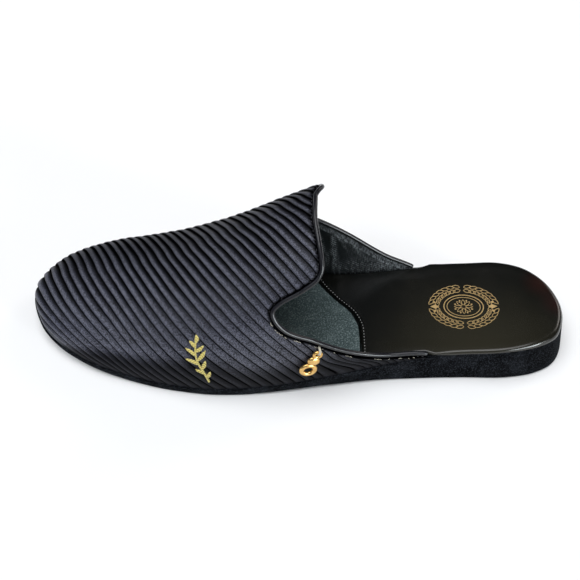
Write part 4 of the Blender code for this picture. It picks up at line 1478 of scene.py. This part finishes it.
def makeSprig():
    # a leafy sprig in padded satin stitch
    points, faces, runs = [], [], []
    count = 0
    stem = spline(sprig["stem"], 10)
    leaves = []
    for t, side, length in sprig["leaves"]:
        k = min(int(t * (len(stem) - 1)), len(stem) - 2)
        way = stem[k + 1] - stem[k]
        angle = math.atan2(way[1], way[0]) + side * math.radians(sprig["lean"])
        leaves.append((stem[k], angle, sprig["leafLength"] * length, sprig["leafWidth"]))
    for base, angle, length, width in leaves:
        n, m = sprig["grid"]
        ids = numbered(n, m, count)
        count += n * m
        for i in range(n):
            t = 0.02 + 0.96 * i / (n - 1)
            half = width / 2 * math.sin(math.pi * t ** 0.8) ** 0.75
            bend = 0.5 * math.sin(math.pi * t)
            for j in range(m):
                w = -1 + 2 * j / (m - 1)
                run, off = t * length, w * half + bend * 0.6
                a = base[0] + run * math.cos(angle) - off * math.sin(angle)
                b = base[1] + run * math.sin(angle) + off * math.cos(angle)
                dome = math.sqrt(max(0.0, 1 - w * w)) * min(1.0, half / (width * 0.3))
                points.append(sprigPoint(a, b, sprig["lift"] - 0.5 + (sprig["thick"] + 0.3) * dome))
                runs.append(run * 0.8 + abs(w) * half * 0.9)
        faces += gridFaces(ids)
    line = [sprigPoint(a, b, sprig["lift"] + 0.1) for a, b in stem]
    p, f, r = tube(line, np.linspace(*sprig["stemRadius"], len(line)), 10, count)
    points = np.vstack([np.array(points), p])
    runs += list(r)
    mesh = meshOf("sprig", points, faces + f, attributes={"run": runs})
    addPiece("sprig", mesh, finishes["goldThread"], "shoe")
    print("sprig:", len(leaves), "leaves")


charmShape = {
    "eye": (1.85, 0.90),        # ring radius, wire radius
    "bead": (3.35, 3.1, 1.6),
    "beadAt": 5.3,
    "ring": (3.45, 1.35),
    "ringAt": 12.6,
    "lift": 2.15,
    "eyeOn": (136.4, 0.158),
    "footOn": (142.2, 0.064),
    "thread": 0.2,
    "strands": (-0.42, 0.0, 0.42),
    "beadGrid": (26, 48),
}


def charmPlace():
    top, topNormal = surfaceFrame(*charmShape["eyeOn"], True)[:2]
    foot, footNormal = surfaceFrame(*charmShape["footOn"], True)[:2]
    origin = top + topNormal * charmShape["lift"]
    down = unit(foot + footNormal * charmShape["lift"] - origin)
    hinge = unit(np.cross(down, topNormal + footNormal))
    return origin, hinge, down, np.cross(hinge, down)


def torus(centreY, radius, wire, flat, major, minor):
    u = np.linspace(0, 2 * math.pi, major, endpoint=False)[:, None]
    v = np.linspace(0, 2 * math.pi, minor, endpoint=False)[None, :]
    r = radius + wire * np.cos(v)
    z = np.broadcast_to(wire * flat * np.sin(v), (major, minor))
    return np.stack([r * np.cos(u), centreY + r * np.sin(u), z], -1)


def makeCharm():
    origin, hinge, down, normal = charmPlace()
    basis = np.stack([hinge, down, normal])

    def shell(grid):
        points = grid.reshape(-1, 3) @ basis + origin
        index = numbered(*grid.shape[:2])
        faces = gridFaces(np.vstack([index, index[:1]]), closed=True)
        return meshOf("shell", points, faces)

    eyeRadius, eyeWire = charmShape["eye"]
    eye = shell(torus(eyeRadius, eyeRadius, eyeWire, 1.0, 64, 28))
    ring = shell(torus(eyeRadius + charmShape["ringAt"], *charmShape["ring"], 0.85, 96, 36))
    levels, sectors = charmShape["beadGrid"]
    turn = np.linspace(0, 2 * math.pi, sectors, endpoint=False)[None, :]
    level = np.linspace(0, math.pi, levels)[:, None]
    bead = np.stack([np.sin(level) * np.cos(turn) * charmShape["bead"][0],
                     np.cos(level) * charmShape["bead"][1] + eyeRadius + charmShape["beadAt"] + 0 * turn,
                     np.sin(level) * np.sin(turn) * charmShape["bead"][2]], -1)
    index = numbered(levels, sectors)
    index[0, :], index[-1, :] = index[0, 0], index[-1, 0]
    points, index = packed(bead, index)
    beadMesh = meshOf("shell", points @ basis + origin, gridFaces(index, closed=True))
    piece = addPiece("charmGold", eye, finishes["castGold"], "charm")
    helpers = []
    for mesh in (beadMesh, ring):
        helper = linked("helper", mesh)
        helpers.append(helper)
        join = piece.modifiers.new("Join", "BOOLEAN")
        join.operation, join.object, join.solver = "UNION", helper, "EXACT"
    bpy.context.view_layer.update()
    solid = piece.evaluated_get(bpy.context.evaluated_depsgraph_get())
    joined = bpy.data.meshes.new_from_object(solid)
    piece.modifiers.clear()
    piece.data = joined
    joined.materials.clear()
    joined.materials.append(finishes["castGold"])
    joined.shade_smooth()
    joined.set_sharp_from_angle(angle=math.radians(last["sharp"]))
    for helper in helpers:
        bpy.data.objects.remove(helper)
    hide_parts("charm")
    # strands of thread over the eye's top wire
    reach = eyeWire + last["gap"] + charmShape["thread"]
    foot = -(charmShape["lift"] + 0.5)
    lines = []
    for k, shift in enumerate(charmShape["strands"]):
        arch = [(reach * math.cos(math.pi * q / 12), reach * math.sin(math.pi * q / 12)) for q in range(13)]
        arch = [(reach, foot)] + arch + [(-reach, foot)]
        lines.append([np.array((shift + 0.1 * math.sin(n + k), y, z)) @ basis + origin
                      for n, (y, z) in enumerate(arch)])
    thread = addStitches("charmLoop", lines, charmShape["thread"], "paleThread", sides=10)
    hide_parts("charm_thread")
    print("charm:", len(joined.polygons), "faces")


makeVamp()
makeLining()
makePiping()
makeToplineStitches()
makeSole()
heelSock = makeSock("heelSock", True, sockShape["heelRows"], sockShape["rimRadius"],
                    finishes["heelLeather"], "heel_sock")
makeSock("frontSock", False, sockShape["frontRows"], sockShape["frontRadius"],
         finishes["sockSuede"], "front_sock")
makeSeamStitches()
makePatch()
makeMedallion()
makeSprig()
makeCharm()

studio = {
    "floor": (0.90, 0.90, 0.90),
    "world": (0.92, 0.96, 1.0),
    "worldStrength": 0.09,
    # name: elevation, azimuth (0 is the toe, 90 the wearer's left), strength, spread in degrees, colour
    "suns": {
        "overhead": (80.0, 20.0, 2.85, 60.0, (0.97, 0.98, 1.0)),
        "front": (46.0, 40.0, 0.40, 40.0, (0.88, 0.94, 1.0)),
        "nearHeel": (14.0, 145.0, 0.80, 12.0, (0.92, 0.98, 1.0)),
        "gloss": (13.0, 130.0, 3.2, 32.0, (0.90, 0.97, 1.0)),
        "farHeel": (30.0, 222.0, 0.45, 22.0, (1.0, 0.94, 0.88)),
    },
    "floorHalf": 4.0,
    "domeRadius": 3.9,
    "domeGrid": (13, 32),
    "eye": (-0.012606, 0.268995, 0.353277),
    "aim": (0.004647, -0.026394, 0.0),
    "lens": 48.0,
}


def makeFloor():
    size = studio["floorHalf"]
    mesh = bpy.data.meshes.new("floor")
    corners = [(x * size, y * size, 0) for x, y in ((-1, -1), (1, -1), (1, 1), (-1, 1))]
    mesh.from_pydata(corners, [], [(0, 1, 2, 3)])
    finish = Finish("Floor", roughness=0.9, specular=0.1)
    tone = finish.noise(3.0, 2.0, 0.5)
    pale = tuple(c * 0.985 for c in studio["floor"])
    finish.set("colour", finish.blend(tone, studio["floor"], pale))
    floor = linked("floor", mesh)
    mesh.materials.append(finish.material)


def makeSun(name, elevation, azimuth, strength, spread, colour):
    data = bpy.data.lights.new(name, "SUN")
    data.energy, data.angle, data.color = strength, math.radians(spread), colour
    sun = linked(name, data)
    up, turn = math.radians(elevation), math.radians(azimuth)
    towards = Vector((math.cos(turn) * math.cos(up), math.sin(turn) * math.cos(up), math.sin(up)))
    sun.rotation_euler = towards.to_track_quat("Z", "Y").to_euler()
    # the gloss light shows only in polished surfaces
    sun.visible_diffuse = name != "gloss"


def makeBackdrop():
    # a pale dome that only the camera sees
    levels, sectors = studio["domeGrid"]
    radius = studio["domeRadius"]
    points = []
    for i in range(levels):
        for j in range(sectors):
            a, b = i / (levels - 1) * math.pi / 2, j / sectors * 2 * math.pi
            points.append((radius * math.cos(a) * math.cos(b), radius * math.cos(a) * math.sin(b),
                           radius * math.sin(a)))
    mesh = bpy.data.meshes.new("backdrop")
    mesh.from_pydata(points, [], gridFaces(numbered(levels, sectors), closed=True))
    finish = Finish("Backdrop", colour=(0.0, 0.0, 0.0), roughness=1.0, specular=0.0)
    glow = finish.noise(0.5, 1.0, 0.5)
    finish.plug(finish.shader.inputs["Emission Color"],
                finish.blend(glow, (0.99, 0.99, 0.99), (1.0, 1.0, 1.0)))
    finish.shader.inputs["Emission Strength"].default_value = 1.02
    dome = linked("backdrop", mesh)
    mesh.materials.append(finish.material)
    for ray in ("diffuse", "glossy", "transmission", "volume_scatter", "shadow"):
        setattr(dome, "visible_" + ray, False)


def makeCamera():
    data = bpy.data.cameras.new("camera")
    data.sensor_width, data.lens = 36.0, studio["lens"]
    data.clip_start, data.clip_end = 0.01, 50.0
    camera = linked("camera", data)
    camera.location = studio["eye"]
    look = Vector(studio["aim"]) - Vector(studio["eye"])
    camera.rotation_euler = look.to_track_quat("-Z", "Y").to_euler()
    bpy.context.scene.camera = camera


def makeWorld():
    world = bpy.data.worlds.new("studio")
    bpy.context.scene.world = world
    world.use_nodes = True
    background = world.node_tree.nodes["Background"]
    background.inputs["Color"].default_value = (*studio["world"], 1.0)
    background.inputs["Strength"].default_value = studio["worldStrength"]
    # only the soft lights and the floor show in the polished leather
    world.cycles_visibility.glossy = False


makeFloor()
makeBackdrop()
for name, settings in studio["suns"].items():
    makeSun(name, *settings)
makeWorld()
makeCamera()
bpy.context.scene.view_settings.view_transform = "Standard"

print("studio ready")
